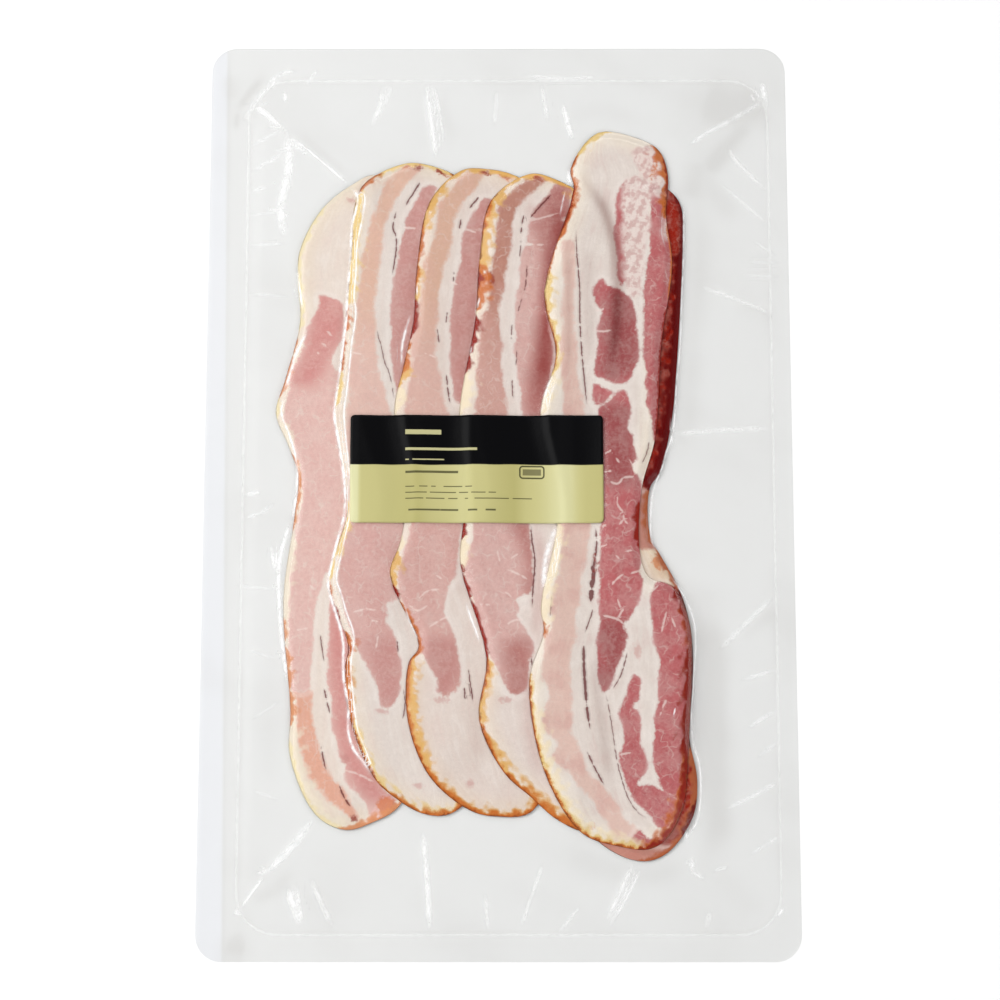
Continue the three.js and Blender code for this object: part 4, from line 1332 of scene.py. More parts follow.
FAT_TONES = {
    "slice_1": ((236, 220, 202), (234, 220, 209)), "slice_2": ((236, 221, 205), (230, 218, 210)),
    "slice_3": ((231, 212, 196), (229, 214, 205)), "slice_4": ((235, 219, 203), (231, 217, 209)),
    "slice_5": ((228, 205, 178), (225, 206, 190)), "slice_6": ((240, 228, 212), (228, 216, 208)),
}
PALE_TONES = {
    "slice_1": (234, 192, 177), "slice_2": (226, 186, 166), "slice_3": (219, 178, 157),
    "slice_4": (188, 134, 118), "slice_5": (192, 134, 120), "slice_6": (228, 199, 187),
}
# What the pale bands turn into lower down
PINKER_TONES = {
    "slice_1": (229, 173, 151), "slice_2": (228, 192, 180), "slice_3": (220, 180, 168),
    "slice_4": (208, 162, 151), "slice_5": (192, 134, 120), "slice_6": (225, 193, 181),
}
LEAN_TONES = {
    "slice_1": (229, 190, 182), "slice_2": (218, 172, 165), "slice_3": (218, 172, 164),
    "slice_4": (220, 177, 170), "slice_5": (178, 84, 66), "slice_6": (190, 104, 106),
}
DEEP_TONES = {
    "slice_1": (213, 147, 142), "slice_2": (205, 150, 144), "slice_3": (199, 142, 136),
    "slice_4": (188, 127, 121), "slice_5": (150, 30, 12), "slice_6": (160, 83, 84),
}
RIM_TONES = {
    "yellow": (224, 175, 99), "orange": (203, 110, 47), "red": (148, 34, 20), "cream": (243, 226, 192),
}
OWN_RIM_TONES = {
    "slice_1": {"yellow": (240, 224, 180), "orange": (219, 146, 102), "cream": (239, 227, 206)},
    "slice_2": {"yellow": (236, 206, 138)},
    "slice_5": {"red": (104, 0, 0), "orange": (182, 98, 60)},
    "slice_6": {"yellow": (230, 198, 126)},
}
RIM_STRENGTHS = {"cream": 0.75, "yellow": 0.95, "orange": 0.95, "red": 1.0}
# The innermost line of the rims, where a yellow or orange one has browned
BROWN_TONE = (136, 66, 34)
USUAL_BROWN = 0.75
OWN_BROWN = {"slice_1": 0.1, "slice_5": 0.3}
# How white the broad and the small veins are
USUAL_VEINS = (0.42, 0.24)
VEIN_STRENGTHS = {"slice_6": (0.30, 0.16)}
WHITE_FAT_TONE = (250, 243, 237)
PITH_TONE = (246, 236, 230)
FLECKED_TONE = (236, 219, 212)
THREAD_TONE = (243, 224, 217)
SEAM_TONE = (108, 44, 46)
PINK_TONE = (200, 138, 132)
RED_TONE = (140, 36, 26)
SHADE_TONES = {"slice_4": (0.64, 0.34, 0.34, 1.0), "slice_6": (0.62, 0.53, 0.52, 1.0)}
SOFT_SHADE = (0.70, 0.60, 0.59, 1.0)

# Noises of the meat, as scale, detail and roughness, and how they are laid out
SEED_RANGE = 89
SEED_SHIFTS = (13.0, 7.0)
FINE_NOISE = (0.75, 2.0, 0.6)
GRIT_NOISE = (2.6, 2.0, 0.65)
FIBRE_NOISE = (0.7, 2.0, 0.55)
FIBRE_STRETCH = (1.0, 0.12, 1.0)

# How far noise moves the borders of the tissues, and how wide the borders are, in millimetres
BORDER_WANDER = {"coarse": 2.2, "fine": 1.7}
DEEP_WANDER = 2.0
PALE_BORDER = (-0.8, 0.9)
LEAN_BORDER = (-0.5, 0.6)
DEEP_BORDER = (-3.5, 3.5)
# Between which distances from the edge cream fat turns white, and between which heights on the pack
# the pale bands turn pinker
CREAM_FADE = (9.0, 1.0)
PINKER_FADE = (75.0, 40.0)
# A whitish line just outside the lean: its place and half width, and its strength
PITH_PLACE = (-0.9, 0.9)
PITH_STRENGTH = 0.3

# Patches of a second tone: weights of the noises, between which sums they grow, and their strength
PINK_FAT = ({"fibre": 1.0, "coarse": 1.0}, (0.0, 0.4), 0.1)
WHITE_FAT = ({"fibre": 1.0, "coarse": 1.0}, (-0.02, -0.36), 0.2)
PINK_PALE = ({"coarse": 1.0, "fibre": 0.4}, (-0.1, 0.3), 0.2)
DEEP_BUNDLES = ({"lumps": 1.0, "fibre": 0.6}, (-0.3, 0.3), 0.22)
WHITE_MOTTLE = ({"coarse": 1.0, "fine": 0.9}, (-0.3, 0.35), 0.16)
FLECKS = ({"lumps": 1.0, "fine": 0.9}, (-0.16, 0.2), 1.0)
GRAIN = ({"grit": 1.0, "fine": 0.6}, (-0.35, 0.35), 1.0)
GRAIN_TINTS = ((0.95, 0.94, 0.94, 1.0), (1.05, 1.05, 1.05, 1.0))

# Mottled tissue: how far noise moves its border, how wide that is, its strength, and how white its
# flecks are
MOTTLED_WANDER = 4.0
MOTTLED_BORDER = (-1.2, 1.2)
MOTTLED_STRENGTH = 0.85
FLECK_WHITE = 0.52

# Nets of veins: scale of their cells, where a vein begins and is full beside a cell's edge, and the noise
# and its values that the net grows between
VEIN_NETS = (
    (0.19, (0.085, 0.0), "patches", (-0.10, 0.14)),
    (0.46, (0.16, 0.0), "lumps", (-0.05, 0.2)),
)
DEEP_VEIN_LOSS = 0.75
PALE_VEINS = 0.8

# Thin lines: how noise bends them, where they break, and each one's kind, half width, softness, strength
# and tone
LINE_BEND = {"fine": 0.55, "grit": 0.2}
BREAK_SCALE = 0.35
BREAK_DETAIL = 2.0
BREAK_LIMITS = (0.2, 0.5)
THINNEST_LINE = 0.12
LINE_LOOKS = (
    ("thread", 0.34, 0.3, 0.6, THREAD_TONE),
    ("seam", 0.7, 0.7, 0.22, SEAM_TONE),
    ("seam", 0.24, 0.16, 0.85, SEAM_TONE),
)

# Spots: how noise frays them, how wide their borders are, and tone and strength of each kind
SPOT_FRAY = {"fine": 2.4, "grit": 1.2}
SPOT_BORDER = (-0.5, 0.7)
SPOT_LOOKS = {"pink": (PINK_TONE, 0.5), "orange": (RIM_TONES["orange"], 0.7), "red": (RED_TONE, 0.8)}

# Rims: how noise varies their width and place, where they are full and where they end, as a share of the
# width and a distance, and which widths show
RIM_SWELL = {"lumps": 2.4, "fine": 0.8}
RIM_MEAN = 1.05
RIM_WANDER = {"fine": 1.7, "grit": 0.8}
RIM_FULL = (0.45, -0.1)
RIM_END = (1.2, 0.15)
RIM_SHOWN = (0.1, 0.6)
# The browned line: share of a yellow rim that counts, and where it shows by rim, distance and swell
BROWN_FROM_YELLOW = 0.35
BROWN_RIMS = (0.3, 1.4)
BROWN_DISTANCES = (0.75, 0.15)
BROWN_SWELLS = (0.6, 1.2)

# The moist surface: roughness and how noise varies it, and strength and depth of its bumps
MEAT_ROUGHNESS = 0.46
MEAT_UNEVENNESS = 0.25
MEAT_BUMPS = (0.25, 0.3)


def bacon_noises(nodes, name):
    """The noises of a slice, by kind."""
    seed = float(seed_of(name) % SEED_RANGE)
    place = nodes.place(shift=(seed * SEED_SHIFTS[0], seed * SEED_SHIFTS[1], 0.0))
    coarse, patches, lumps = nodes.parts("cloud")
    grain = nodes.add("ShaderNodeMapping")
    nodes.join(nodes.attribute("grain").outputs["Vector"], grain.inputs["Vector"])
    grain.inputs["Scale"].default_value = FIBRE_STRETCH
    grain.inputs["Location"].default_value = (seed, 0.0, seed)
    return {
        "coarse": coarse, "patches": patches, "lumps": lumps,
        "fine": nodes.noise(place, *FINE_NOISE), "grit": nodes.noise(place, *GRIT_NOISE),
        "fibre": nodes.noise(grain.outputs["Vector"], *FIBRE_NOISE),
    }


def veins_share(nodes, noises, name, deep_share):
    """How white the veins are: two nets of them, each in patches of its own, fewer in deep lean."""
    shares = []
    for net, strength in zip(VEIN_NETS, VEIN_STRENGTHS.get(name, USUAL_VEINS)):
        scale, width, noise, limits = net
        cells = nodes.add("ShaderNodeTexVoronoi", feature="DISTANCE_TO_EDGE", voronoi_dimensions="2D")
        nodes.join(nodes.attribute("marble").outputs["Vector"], cells.inputs["Vector"])
        cells.inputs["Scale"].default_value = scale
        veins = nodes.step(cells.outputs["Distance"], *width)
        shares.append(nodes.times(veins, nodes.step(noises[noise], *limits), strength))
    kept = nodes.math("SUBTRACT", 1.0, nodes.times(deep_share, DEEP_VEIN_LOSS))
    return nodes.times(nodes.math("MAXIMUM", *shares), kept)


def tissue_look(nodes, noises, name):
    """The tissues of a slice: fat, pale bands, lean and deep lean, with veins, and mottled patches."""
    cream, white = (colour(*tone) for tone in FAT_TONES[name])
    lean_tone, deep_tone = colour(*LEAN_TONES[name]), colour(*DEEP_TONES[name])
    wander = nodes.weighted(noises, BORDER_WANDER)
    pale_depth, lean_depth, deep_depth = nodes.parts("tissue")
    pale_share = nodes.step(nodes.total(pale_depth, wander), *PALE_BORDER)
    lean_share = nodes.step(nodes.total(lean_depth, wander), *LEAN_BORDER)
    deep_share = nodes.step(nodes.total(deep_depth, nodes.times(wander, DEEP_WANDER)), *DEEP_BORDER)
    veins = veins_share(nodes, noises, name, deep_share)

    fat = nodes.mix(nodes.step(nodes.number("edge"), *CREAM_FADE), white, cream)
    fat = nodes.tinted(fat, lean_tone, noises, PINK_FAT)
    fat = nodes.tinted(fat, colour(*WHITE_FAT_TONE), noises, WHITE_FAT)

    pinker = nodes.step(nodes.axis(1), *PINKER_FADE)
    pale = nodes.mix(pinker, colour(*PALE_TONES[name]), colour(*PINKER_TONES[name]))
    pale = nodes.tinted(pale, lean_tone, noises, PINK_PALE)
    pale = nodes.mix(nodes.times(veins, PALE_VEINS), pale, white)

    lean = nodes.mix(deep_share, lean_tone, deep_tone)
    lean = nodes.tinted(lean, deep_tone, noises, DEEP_BUNDLES)
    lean = nodes.tinted(lean, white, noises, WHITE_MOTTLE)
    lean = nodes.mix(veins, lean, white)

    body = nodes.mix(lean_share, nodes.mix(pale_share, fat, pale), lean)
    pith = nodes.times(nodes.bell(lean_depth, *PITH_PLACE), PITH_STRENGTH)
    body = nodes.mix(pith, body, colour(*PITH_TONE))
    flecked = nodes.tinted(colour(*FLECKED_TONE), nodes.mix(FLECK_WHITE, lean_tone, white), noises, FLECKS)
    border = nodes.total(nodes.number("mottled"), nodes.times(noises["coarse"], MOTTLED_WANDER))
    return nodes.mix(nodes.times(nodes.step(border, *MOTTLED_BORDER), MOTTLED_STRENGTH), body, flecked)


def line_parts(nodes, noises, attribute):
    """Distance from thin lines, and how strong they are, with breaks along them."""
    signed, strength, along = nodes.parts(attribute)
    breaks = nodes.add("ShaderNodeTexNoise", noise_dimensions="1D")
    nodes.join(along, breaks.inputs["W"])
    breaks.inputs["Scale"].default_value = BREAK_SCALE
    breaks.inputs["Detail"].default_value = BREAK_DETAIL
    gap = nodes.math("ABSOLUTE", nodes.total(signed, nodes.weighted(noises, LINE_BEND)))
    return gap, nodes.times(nodes.step(breaks.outputs["Fac"], *BREAK_LIMITS), strength)


def with_lines(nodes, noises, body):
    """Draws the pale threads, and the dark seams with their halo."""
    parts = {kind: line_parts(nodes, noises, kind) for kind in ("thread", "seam")}
    for kind, width, softness, share, tone in LINE_LOOKS:
        gap, strength = parts[kind]
        swell = nodes.times(strength, width)
        across = nodes.step(nodes.math("SUBTRACT", swell, gap), -softness, softness)
        shown = nodes.times(across, nodes.step(swell, 0.0, THINNEST_LINE))
        body = nodes.mix(nodes.times(shown, share), body, colour(*tone))
    return body


def with_spots(nodes, noises, body):
    depths = dict(zip(SPOT_KINDS, nodes.parts("spot")))
    fray = nodes.weighted(noises, SPOT_FRAY)
    for kind, (tone, strength) in SPOT_LOOKS.items():
        share = nodes.step(nodes.total(depths[kind], fray), *SPOT_BORDER)
        body = nodes.mix(nodes.times(share, strength), body, colour(*tone))
    return body


def with_rims(nodes, noises, name, body):
    """Lays the coloured rims over each other, and the browned line along the edge over them."""
    widths = dict(zip(RIM_KINDS, nodes.parts("rim")), cream=nodes.number("cream"))
    swell = nodes.total(nodes.weighted(noises, RIM_SWELL), RIM_MEAN)
    depth = nodes.total(nodes.number("edge"), nodes.weighted(noises, RIM_WANDER))
    tones = {**RIM_TONES, **OWN_RIM_TONES.get(name, {})}
    for kind, strength in RIM_STRENGTHS.items():
        reach = nodes.times(widths[kind], swell)
        full, end = (nodes.total(nodes.times(reach, part), more) for part, more in (RIM_FULL, RIM_END))
        present = nodes.step(widths[kind], *RIM_SHOWN)
        share = nodes.times(nodes.step(depth, end, full), present, strength)
        body = nodes.mix(share, body, colour(*tones[kind]))
    browned = nodes.total(widths["orange"], nodes.times(widths["yellow"], BROWN_FROM_YELLOW))
    brown = nodes.times(nodes.step(depth, *BROWN_DISTANCES), nodes.step(browned, *BROWN_RIMS),
                        nodes.step(swell, *BROWN_SWELLS))
    return nodes.mix(nodes.times(brown, OWN_BROWN.get(name, USUAL_BROWN)), body, colour(*BROWN_TONE))


def bacon_material(name):
    nodes = Nodes("bacon_look_" + name)
    noises = bacon_noises(nodes, name)
    body = tissue_look(nodes, noises, name)
    body = with_lines(nodes, noises, body)
    body = with_spots(nodes, noises, body)
    body = with_rims(nodes, noises, name, body)
    body = nodes.toned(body, SHADE_TONES.get(name, SOFT_SHADE), nodes.number("shade"))
    body = nodes.toned(body, nodes.tinted(*GRAIN_TINTS, noises, GRAIN))
    fine = noises["fine"]
    roughness = nodes.total(nodes.times(fine, MEAT_UNEVENNESS), MEAT_ROUGHNESS)
    return nodes.finish(nodes.printed_surface(body, roughness, nodes.bump(fine, *MEAT_BUMPS)))


FILM_STEP_X = 0.85
FILM_FINE_STEP_X = 0.5
FILM_STEP_Y = 1.0
# Columns are finer where the film drops beside the leftmost slice
FINE_COLUMNS = (-62.0, -46.0)
LOWER_FILM_HEIGHT = 0.06
LOWER_FILM_STEP = 9.0
# A distance from the pocket's edge that is far inside it
INSIDE_POCKET = 32.0
# Clouds of the film: wavelength, seed, and how the place is turned and stretched first
FILM_CLOUDS = (
    (44.0, 61, ((1.0, 0.0), (0.0, 1.0))),
    (16.0, 62, ((0.6, 0.3), (-0.3, 1.3))),
    (5.7, 63, ((1.0, 0.0), (0.0, 1.0))),
)


def film_axis_x():
    half = PACK_WIDTH / 2
    low, high = FINE_COLUMNS
    parts = [
        np.linspace(-half, low, int((low + half) / FILM_STEP_X), endpoint=False),
        np.linspace(low, high, int((high - low) / FILM_FINE_STEP_X), endpoint=False),
        np.linspace(high, half, int((half - high) / FILM_STEP_X) + 1),
    ]
    return np.concatenate(parts)


def sheet_faces(columns, rows):
    """Quads over a grid of points kept column by column, and the border, counter-clockwise."""
    faces = []
    for c in range(columns - 1):
        for r in range(rows - 1):
            start = c * rows + r
            faces.append((start, start + rows, start + rows + 1, start + 1))
    last = (columns - 1) * rows
    border = [c * rows for c in range(columns)]
    border += [last + r for r in range(1, rows)]
    border += [c * rows + rows - 1 for c in range(columns - 2, -1, -1)]
    border += [r for r in range(rows - 2, 0, -1)]
    return faces, border


def build_film():
    """The clear envelope: an upper film drawn over the slices and a flat lower film, sealed all round."""
    xs = film_axis_x()
    ys = np.linspace(-PACK_LENGTH / 2, PACK_LENGTH / 2, int(PACK_LENGTH / FILM_STEP_Y) + 1)
    grid = np.stack(np.meshgrid(xs, ys, indexing="ij"), axis=-1)
    half = np.array([PACK_WIDTH, PACK_LENGTH]) / 2
    flat = round_corners(grid.reshape(-1, 2), np.zeros(2), half, PACK_CORNER)
    height = film_height(flat)
    faces, border = sheet_faces(*grid.shape[:2])
    ring = flat[border]
    rows = [np.arange(-side + LOWER_FILM_STEP, side - LOWER_FILM_STEP / 2, LOWER_FILM_STEP) for side in half]
    inner = np.array([(x, y) for x in rows[0] for y in rows[1]])
    inner = inner[loop_depth(inner, PACK_LOOP) > LOWER_FILM_STEP / 3]
    first = len(flat)
    low_faces = [tuple(first + i for i in reversed(face)) for face in fill_ring(ring, inner)]
    for i in range(len(ring)):
        j = (i + 1) % len(ring)
        faces.append((border[j], border[i], first + i, first + j))
    low = np.vstack([ring, inner])
    vertices = np.vstack([
        np.column_stack([flat, height]),
        np.column_stack([low, np.full(len(low), LOWER_FILM_HEIGHT)]),
    ])
    piece = make_mesh("clear_film", vertices, faces + low_faces)
    # Painted highlight streaks, partly whitened creases, with painted shade as the third part, for the
    # material
    streaks = [*crease_and_highlight_field(flat), soft_strokes(flat, FILM_SHADES, FILM_TRACE_HEIGHT)]
    clouds = [NOISE_DEPTH * wave_noise(flat @ np.array(turn), length, seed)
              for length, seed, turn in FILM_CLOUDS]
    rest = np.zeros(len(low))
    for name, fields in (("cloud", clouds), ("crease_and_highlight", streaks)):
        store(piece, name, *(np.concatenate([field, rest]) for field in fields))
    store(piece, "pocket", np.concatenate([loop_depth(flat, POCKET_LOOP), rest + INSIDE_POCKET]))
    store(piece, "lower", np.concatenate([np.zeros(len(flat)), rest + 1.0]))
    return piece


def round_corners(points, centre, half, radius):
    """Pulls the points of a rectangle into one with rounded corners."""
    offset = points - centre
    local = np.abs(offset) - (half - radius)
    corner = np.all(local > 0, axis=1)
    shrink = np.where(corner, local.max(1) / np.maximum(np.hypot(*local.T), 1e-9), 1.0)
    moved = centre + np.sign(offset) * (half - radius + local * shrink[:, None])
    return np.where(corner[:, None], moved, points)


FILM_TONE = (0.952, 0.953, 0.950, 1.0)
BAND_TONE = (0.961, 0.964, 0.970, 1.0)
# Darker tone of the film where its painted shade, its seal lines and its clouds are
DARK_FILM_TONE = (0.895, 0.892, 0.886, 1.0)
# Clearer tone of the film under the painted highlight streaks
CREASE_AND_HIGHLIGHT_TONE = grey(0.985)
LOWER_FILM_TINT = grey(0.975)
# The paler band along the left side: how wide it is half way up, how much it widens downwards, where its
# edge is, and the place, half width and strength of the dark line beside it
BAND_WIDTH = 7.0
BAND_LEAN = 0.012
BAND_EDGE = (0.5, -0.3)
BAND_LINE = (0.7, 0.8)
BAND_LINE_STRENGTH = 0.2
# Painted highlight streaks, partly whitened creases: half width, noise that frays them as scale, detail and
# reach, and how uneven and strong they are
STREAK_BELL = (0.0, 0.85)
STREAK_FRAY = (0.8, 1.0)
STREAK_FRAY_REACH = 0.6
UNEVEN_LIMITS = (-0.22, 0.10)
STREAK_UNEVENNESS = 0.6
STREAK_MEAN = 0.4
# The pocket's lip: how noise moves it, its painted highlight line and its dark line, and their strengths
LIP_WANDER = 0.5
LIP_HIGHLIGHT = (0.0, 0.4)
LIP_UNEVENNESS = 0.12
LIP_MEAN = 0.1
LIP_DARK = (1.0, 0.7)
LIP_DARK_STRENGTH = 0.28
SHADE_STRENGTH = 1.6
CLOUD_STRENGTH = -0.9
# Most of the lit white of the painted highlights
MOST_CREASE_AND_HIGHLIGHT_WHITE = 0.9
# Mirroring: how it grows towards low angles, its strength there, its limit, and its least
SHEEN_BLEND = 0.5
SHEEN_POWER = 2.5
SHEEN_STRENGTH = 0.9
MOST_SHEEN = 0.09
LEAST_SHEEN = 0.007
FILM_ROUGHNESS = 0.12
# Relief that the mirroring sees: of ripples, streaks and the pocket's lip, and strength and depth of all
RIPPLE_RELIEF = 0.5
STREAK_RELIEF = 0.25
LIP_RELIEF_BELL = (0.0, 0.6)
LIP_RELIEF = 0.1
FILM_BUMPS = (0.8, 0.6)


def film_material():
    nodes = Nodes("film_look")
    across, strength, shade = nodes.parts("crease_and_highlight")
    cloud, ripple, brush = nodes.parts("cloud")
    pocket, lower = nodes.number("pocket"), nodes.number("lower")
    front = nodes.math("SUBTRACT", 1.0, nodes.add("ShaderNodeNewGeometry").outputs["Backfacing"])
    uneven = nodes.step(brush, *UNEVEN_LIMITS)

    # The painted highlight streaks, partly whitened creases, frayed and uneven
    frayed = nodes.total(across, nodes.times(nodes.noise(nodes.place(), *STREAK_FRAY), STREAK_FRAY_REACH))
    patchy = nodes.total(nodes.times(uneven, STREAK_UNEVENNESS), STREAK_MEAN)
    crease_and_highlight = nodes.times(nodes.bell(frayed, *STREAK_BELL), strength, patchy)
    band_edge = PACK_WIDTH / 2 - BAND_WIDTH
    from_band = nodes.total(nodes.axis(0), nodes.times(nodes.axis(1), BAND_LEAN), band_edge)
    band_dark = nodes.times(nodes.bell(from_band, *BAND_LINE), BAND_LINE_STRENGTH)
    lip = nodes.total(pocket, nodes.times(brush, LIP_WANDER))
    lip_patchy = nodes.total(nodes.times(uneven, LIP_UNEVENNESS), LIP_MEAN)
    # The lip's painted highlight line, and its dark line
    lip_highlight = nodes.times(nodes.bell(lip, *LIP_HIGHLIGHT), lip_patchy)
    lip_dark = nodes.times(nodes.bell(lip, *LIP_DARK), LIP_DARK_STRENGTH)

    # Painted shade strokes, the seal lines and the clouds darken the film, and the painted highlight streaks
    # clear it
    dark = nodes.total(band_dark, lip_dark, nodes.times(shade, SHADE_STRENGTH),
    nodes.times(cloud, CLOUD_STRENGTH))
    tone = nodes.mix(nodes.step(from_band, *BAND_EDGE), FILM_TONE, BAND_TONE)
    tone = nodes.mix(nodes.math("MULTIPLY", dark, 1.0, clamp=True), tone, DARK_FILM_TONE)
    tone = nodes.mix(crease_and_highlight, tone, CREASE_AND_HIGHLIGHT_TONE)
    tone = nodes.toned(tone, LOWER_FILM_TINT, lower)
    clear = nodes.add("ShaderNodeBsdfTransparent")
    nodes.join(tone, clear.inputs["Color"])
    # White diffuse lit by the lamps, for the painted highlights of the streaks and the lip, partly whitened
    # creases
    crease_and_highlight_white = nodes.add("ShaderNodeBsdfDiffuse")
    crease_and_highlight_white.inputs["Color"].default_value = grey(1.0)
    crease_and_highlight_share = nodes.times(nodes.math("MAXIMUM", crease_and_highlight, lip_highlight), front)
    with_crease_and_highlight_white = nodes.mix_shaders(nodes.math("MINIMUM", crease_and_highlight_share, MOST_CREASE_AND_HIGHLIGHT_WHITE), clear, crease_and_highlight_white)

    facing = nodes.add("ShaderNodeLayerWeight")
    facing.inputs["Blend"].default_value = SHEEN_BLEND
    steep = nodes.math("POWER", facing.outputs["Facing"], SHEEN_POWER)
    sheen = nodes.math("MINIMUM", nodes.times(steep, SHEEN_STRENGTH), MOST_SHEEN)
    mirror = nodes.times(front, nodes.total(sheen, LEAST_SHEEN))
    gloss = nodes.add("ShaderNodeBsdfAnisotropic")
    gloss.inputs["Roughness"].default_value = FILM_ROUGHNESS
    gloss.inputs["Color"].default_value = grey(1.0)
    streak_rise = nodes.times(nodes.bell(across, *STREAK_BELL), strength, STREAK_RELIEF)
    lip_rise = nodes.times(nodes.bell(pocket, *LIP_RELIEF_BELL), LIP_RELIEF)
    relief = nodes.total(nodes.times(ripple, RIPPLE_RELIEF), streak_rise, lip_rise)
    nodes.join(nodes.bump(relief, *FILM_BUMPS), gloss.inputs["Normal"])
    return nodes.finish(nodes.mix_shaders(mirror, with_crease_and_highlight_white, gloss))


LABEL_STEP = 0.8
LABEL_GAP = 0.14
LABEL_THICKNESS = 0.22
LABEL_SMOOTHING = (-4.0, -2.5, -1.2, 0.0, 1.2, 2.5, 4.0)


def build_label():
    """The sticker on the upper film, which it follows a little stiffly."""
    width = LABEL["right"] - LABEL["left"]
    length = LABEL["top"] - LABEL["bottom"]
    xs = np.linspace(LABEL["left"], LABEL["right"], int(width / LABEL_STEP) + 1)
    ys = np.linspace(LABEL["bottom"], LABEL["top"], int(length / LABEL_STEP) + 1)
    grid = np.stack(np.meshgrid(xs, ys, indexing="ij"), axis=-1)
    centre = np.array([(LABEL["left"] + LABEL["right"]) / 2, (LABEL["bottom"] + LABEL["top"]) / 2])
    flat = round_corners(grid.reshape(-1, 2), centre, np.array([width, length]) / 2, LABEL_CORNER)
    bent = [film_height(flat + np.array([shift, 0.0]), with_ridges=False) for shift in LABEL_SMOOTHING]
    bottom = np.maximum(np.mean(bent, axis=0), film_height(flat)) + LABEL_GAP
    count = len(flat)
    vertices = np.vstack([np.column_stack([flat, bottom + LABEL_THICKNESS]), np.column_stack([flat, bottom])])
    top_faces, border = sheet_faces(*grid.shape[:2])
    faces = top_faces + [tuple(count + i for i in reversed(face)) for face in top_faces]
    for i, j in zip(border, border[1:] + border[:1]):
        faces.append((j, i, i + count, j + count))
    piece = make_mesh("label_sticker", vertices, faces)
    # Painted light and shade from the label's waves, with a painted highlight at its left end, for the
    # material
    shading_places = [on_pack([(x, LABEL_SHADING_ROW)], LABEL_HEIGHT)[0, 0] for x, _ in LABEL_LIGHT_AND_SHADE]
    tone = np.interp(vertices[:, 0], shading_places, [value for _, value in LABEL_LIGHT_AND_SHADE])
    store(piece, "tone", tone)
    return piece


# Painted light and shade across the label's width, from its waves, with a painted highlight at its left end:
# the photograph's x and a value from -1 to 1
LABEL_LIGHT_AND_SHADE = [(350, 1.0), (356, 0.9), (361, 0.0), (380, -0.1), (402, -0.3), (415, -0.5), (430, -0.1),
(462, 0.35),
               (478, 0.1), (500, -0.3), (514, -0.5), (526, 0.0), (545, 0.4), (562, 0.75), (572, 0.6),
               (586, -0.1),
               (603, -0.3)]
LABEL_SHADING_ROW = 490
LABEL_HEIGHT = 7.6

# Plain bars on the label, in the photograph's pixels: left, right, middle y, half height, and how often
# a bar is broken
PALE_MARKS = [(405, 441, 430, 2.4, 0.0), (405, 477, 447, 1.3, 0.0), (405, 444, 457.5, 0.6, 0.3)]
DARK_MARKS = [(405, 458, 470, 1.2, 0.0), (405, 474, 484.5, 0.5, 0.5), (405, 496, 490.5, 0.5, 0.5),
              (405, 532, 496.5, 0.5, 0.5), (408, 498, 508, 0.9, 0.3)]
# A plain rounded patch: middle, half width, half height and corner in the photograph's pixels
PATCH = {"x": 532, "y": 470, "half_width": 12, "half_height": 6, "corner": 3}
# Distances from the patch's edge where its ring ends and is full, and where its core begins and is full
PATCH_RING = (0.34, 0.2)
PATCH_CORE = (-0.9, -1.1)
PATCH_STRENGTH = 0.85
PATCH_TONE = (30, 30, 20)
# How soft the edges of the bars are, which values of a noise leave them unbroken, and how their noises lie
MARK_SOFTNESS = 0.08
WORD_LIMITS = (-0.16, -0.12)
MARK_SHIFTS = (53.0, 17.0)
PALE_MARK_STRENGTH = 0.9
PALE_MARK_TONE = (200, 195, 146)
DARK_MARK_STRENGTH = 0.8
DARK_MARK_TONE = (40, 40, 26)
# Shaded, plain and lit tones of the two fields, as painted shade and highlight, and between which values of
# the painted lightness they change
SHADED_AND_LIT_KHAKI = ((180, 173, 112), (200, 194, 136), (222, 220, 174))
KHAKI_SHADING_LIMITS = ((-0.7, 0.3), (0.1, 1.1))
SHADED_AND_LIT_BLACK = ((6, 6, 8), (14, 14, 16))
BLACK_SHADING_LIMITS = (0.3, 1.0)
# The border between the fields: its wave as scale, detail and height, and its softness
BORDER_WAVE = (0.06, 1.0)
BORDER_WAVE_HEIGHT = 1.2
BORDER_SOFTNESS = 0.12
ALONG_X = (1.0, 0.0, 0.0)
LABEL_ROUGHNESS = 0.36
LABEL_GRAIN = (1.2, 2.0)
LABEL_BUMPS = (0.12, 0.2)


def outside(nodes, middle, half_width, half_height, corner=0.0):
    """Distance outside a rectangle, which may have rounded corners, from its middle."""
    off_x, off_y = (
        nodes.math("SUBTRACT", nodes.math("ABSOLUTE", nodes.math("SUBTRACT", nodes.axis(i), middle[i])),
        reach)
        for i, reach in enumerate((half_width - corner, half_height - corner))
    )
    if not corner:
        return nodes.math("MAXIMUM", off_x, off_y)
    off_x, off_y = (nodes.math("MAXIMUM", off, 0.0) for off in (off_x, off_y))
    squares = nodes.total(nodes.times(off_x, off_x), nodes.times(off_y, off_y))
    return nodes.math("SUBTRACT", nodes.math("SQRT", squares), corner)


def marks_share(nodes, marks):
    """Where plain bars are, some of them broken by a noise."""
    share = 0.0
    for i, (left, right, row, half_height, breaks) in enumerate(marks):
        ends = on_pack([(left, row), (right, row)], LABEL_HEIGHT)
        half_width = (ends[1, 0] - ends[0, 0]) / 2
        gap = outside(nodes, ends.mean(0), half_width, half_height * PIXEL)
        line = nodes.step(gap, MARK_SOFTNESS, -MARK_SOFTNESS)
        if breaks:
            shift = (MARK_SHIFTS[0] * (i + 1), MARK_SHIFTS[1] * i, 0.0)
            words = nodes.noise(nodes.place(stretch=ALONG_X, shift=shift), breaks, 0.0)
            line = nodes.times(line, nodes.step(words, *WORD_LIMITS))
        share = nodes.math("MAXIMUM", share, line)
    return share


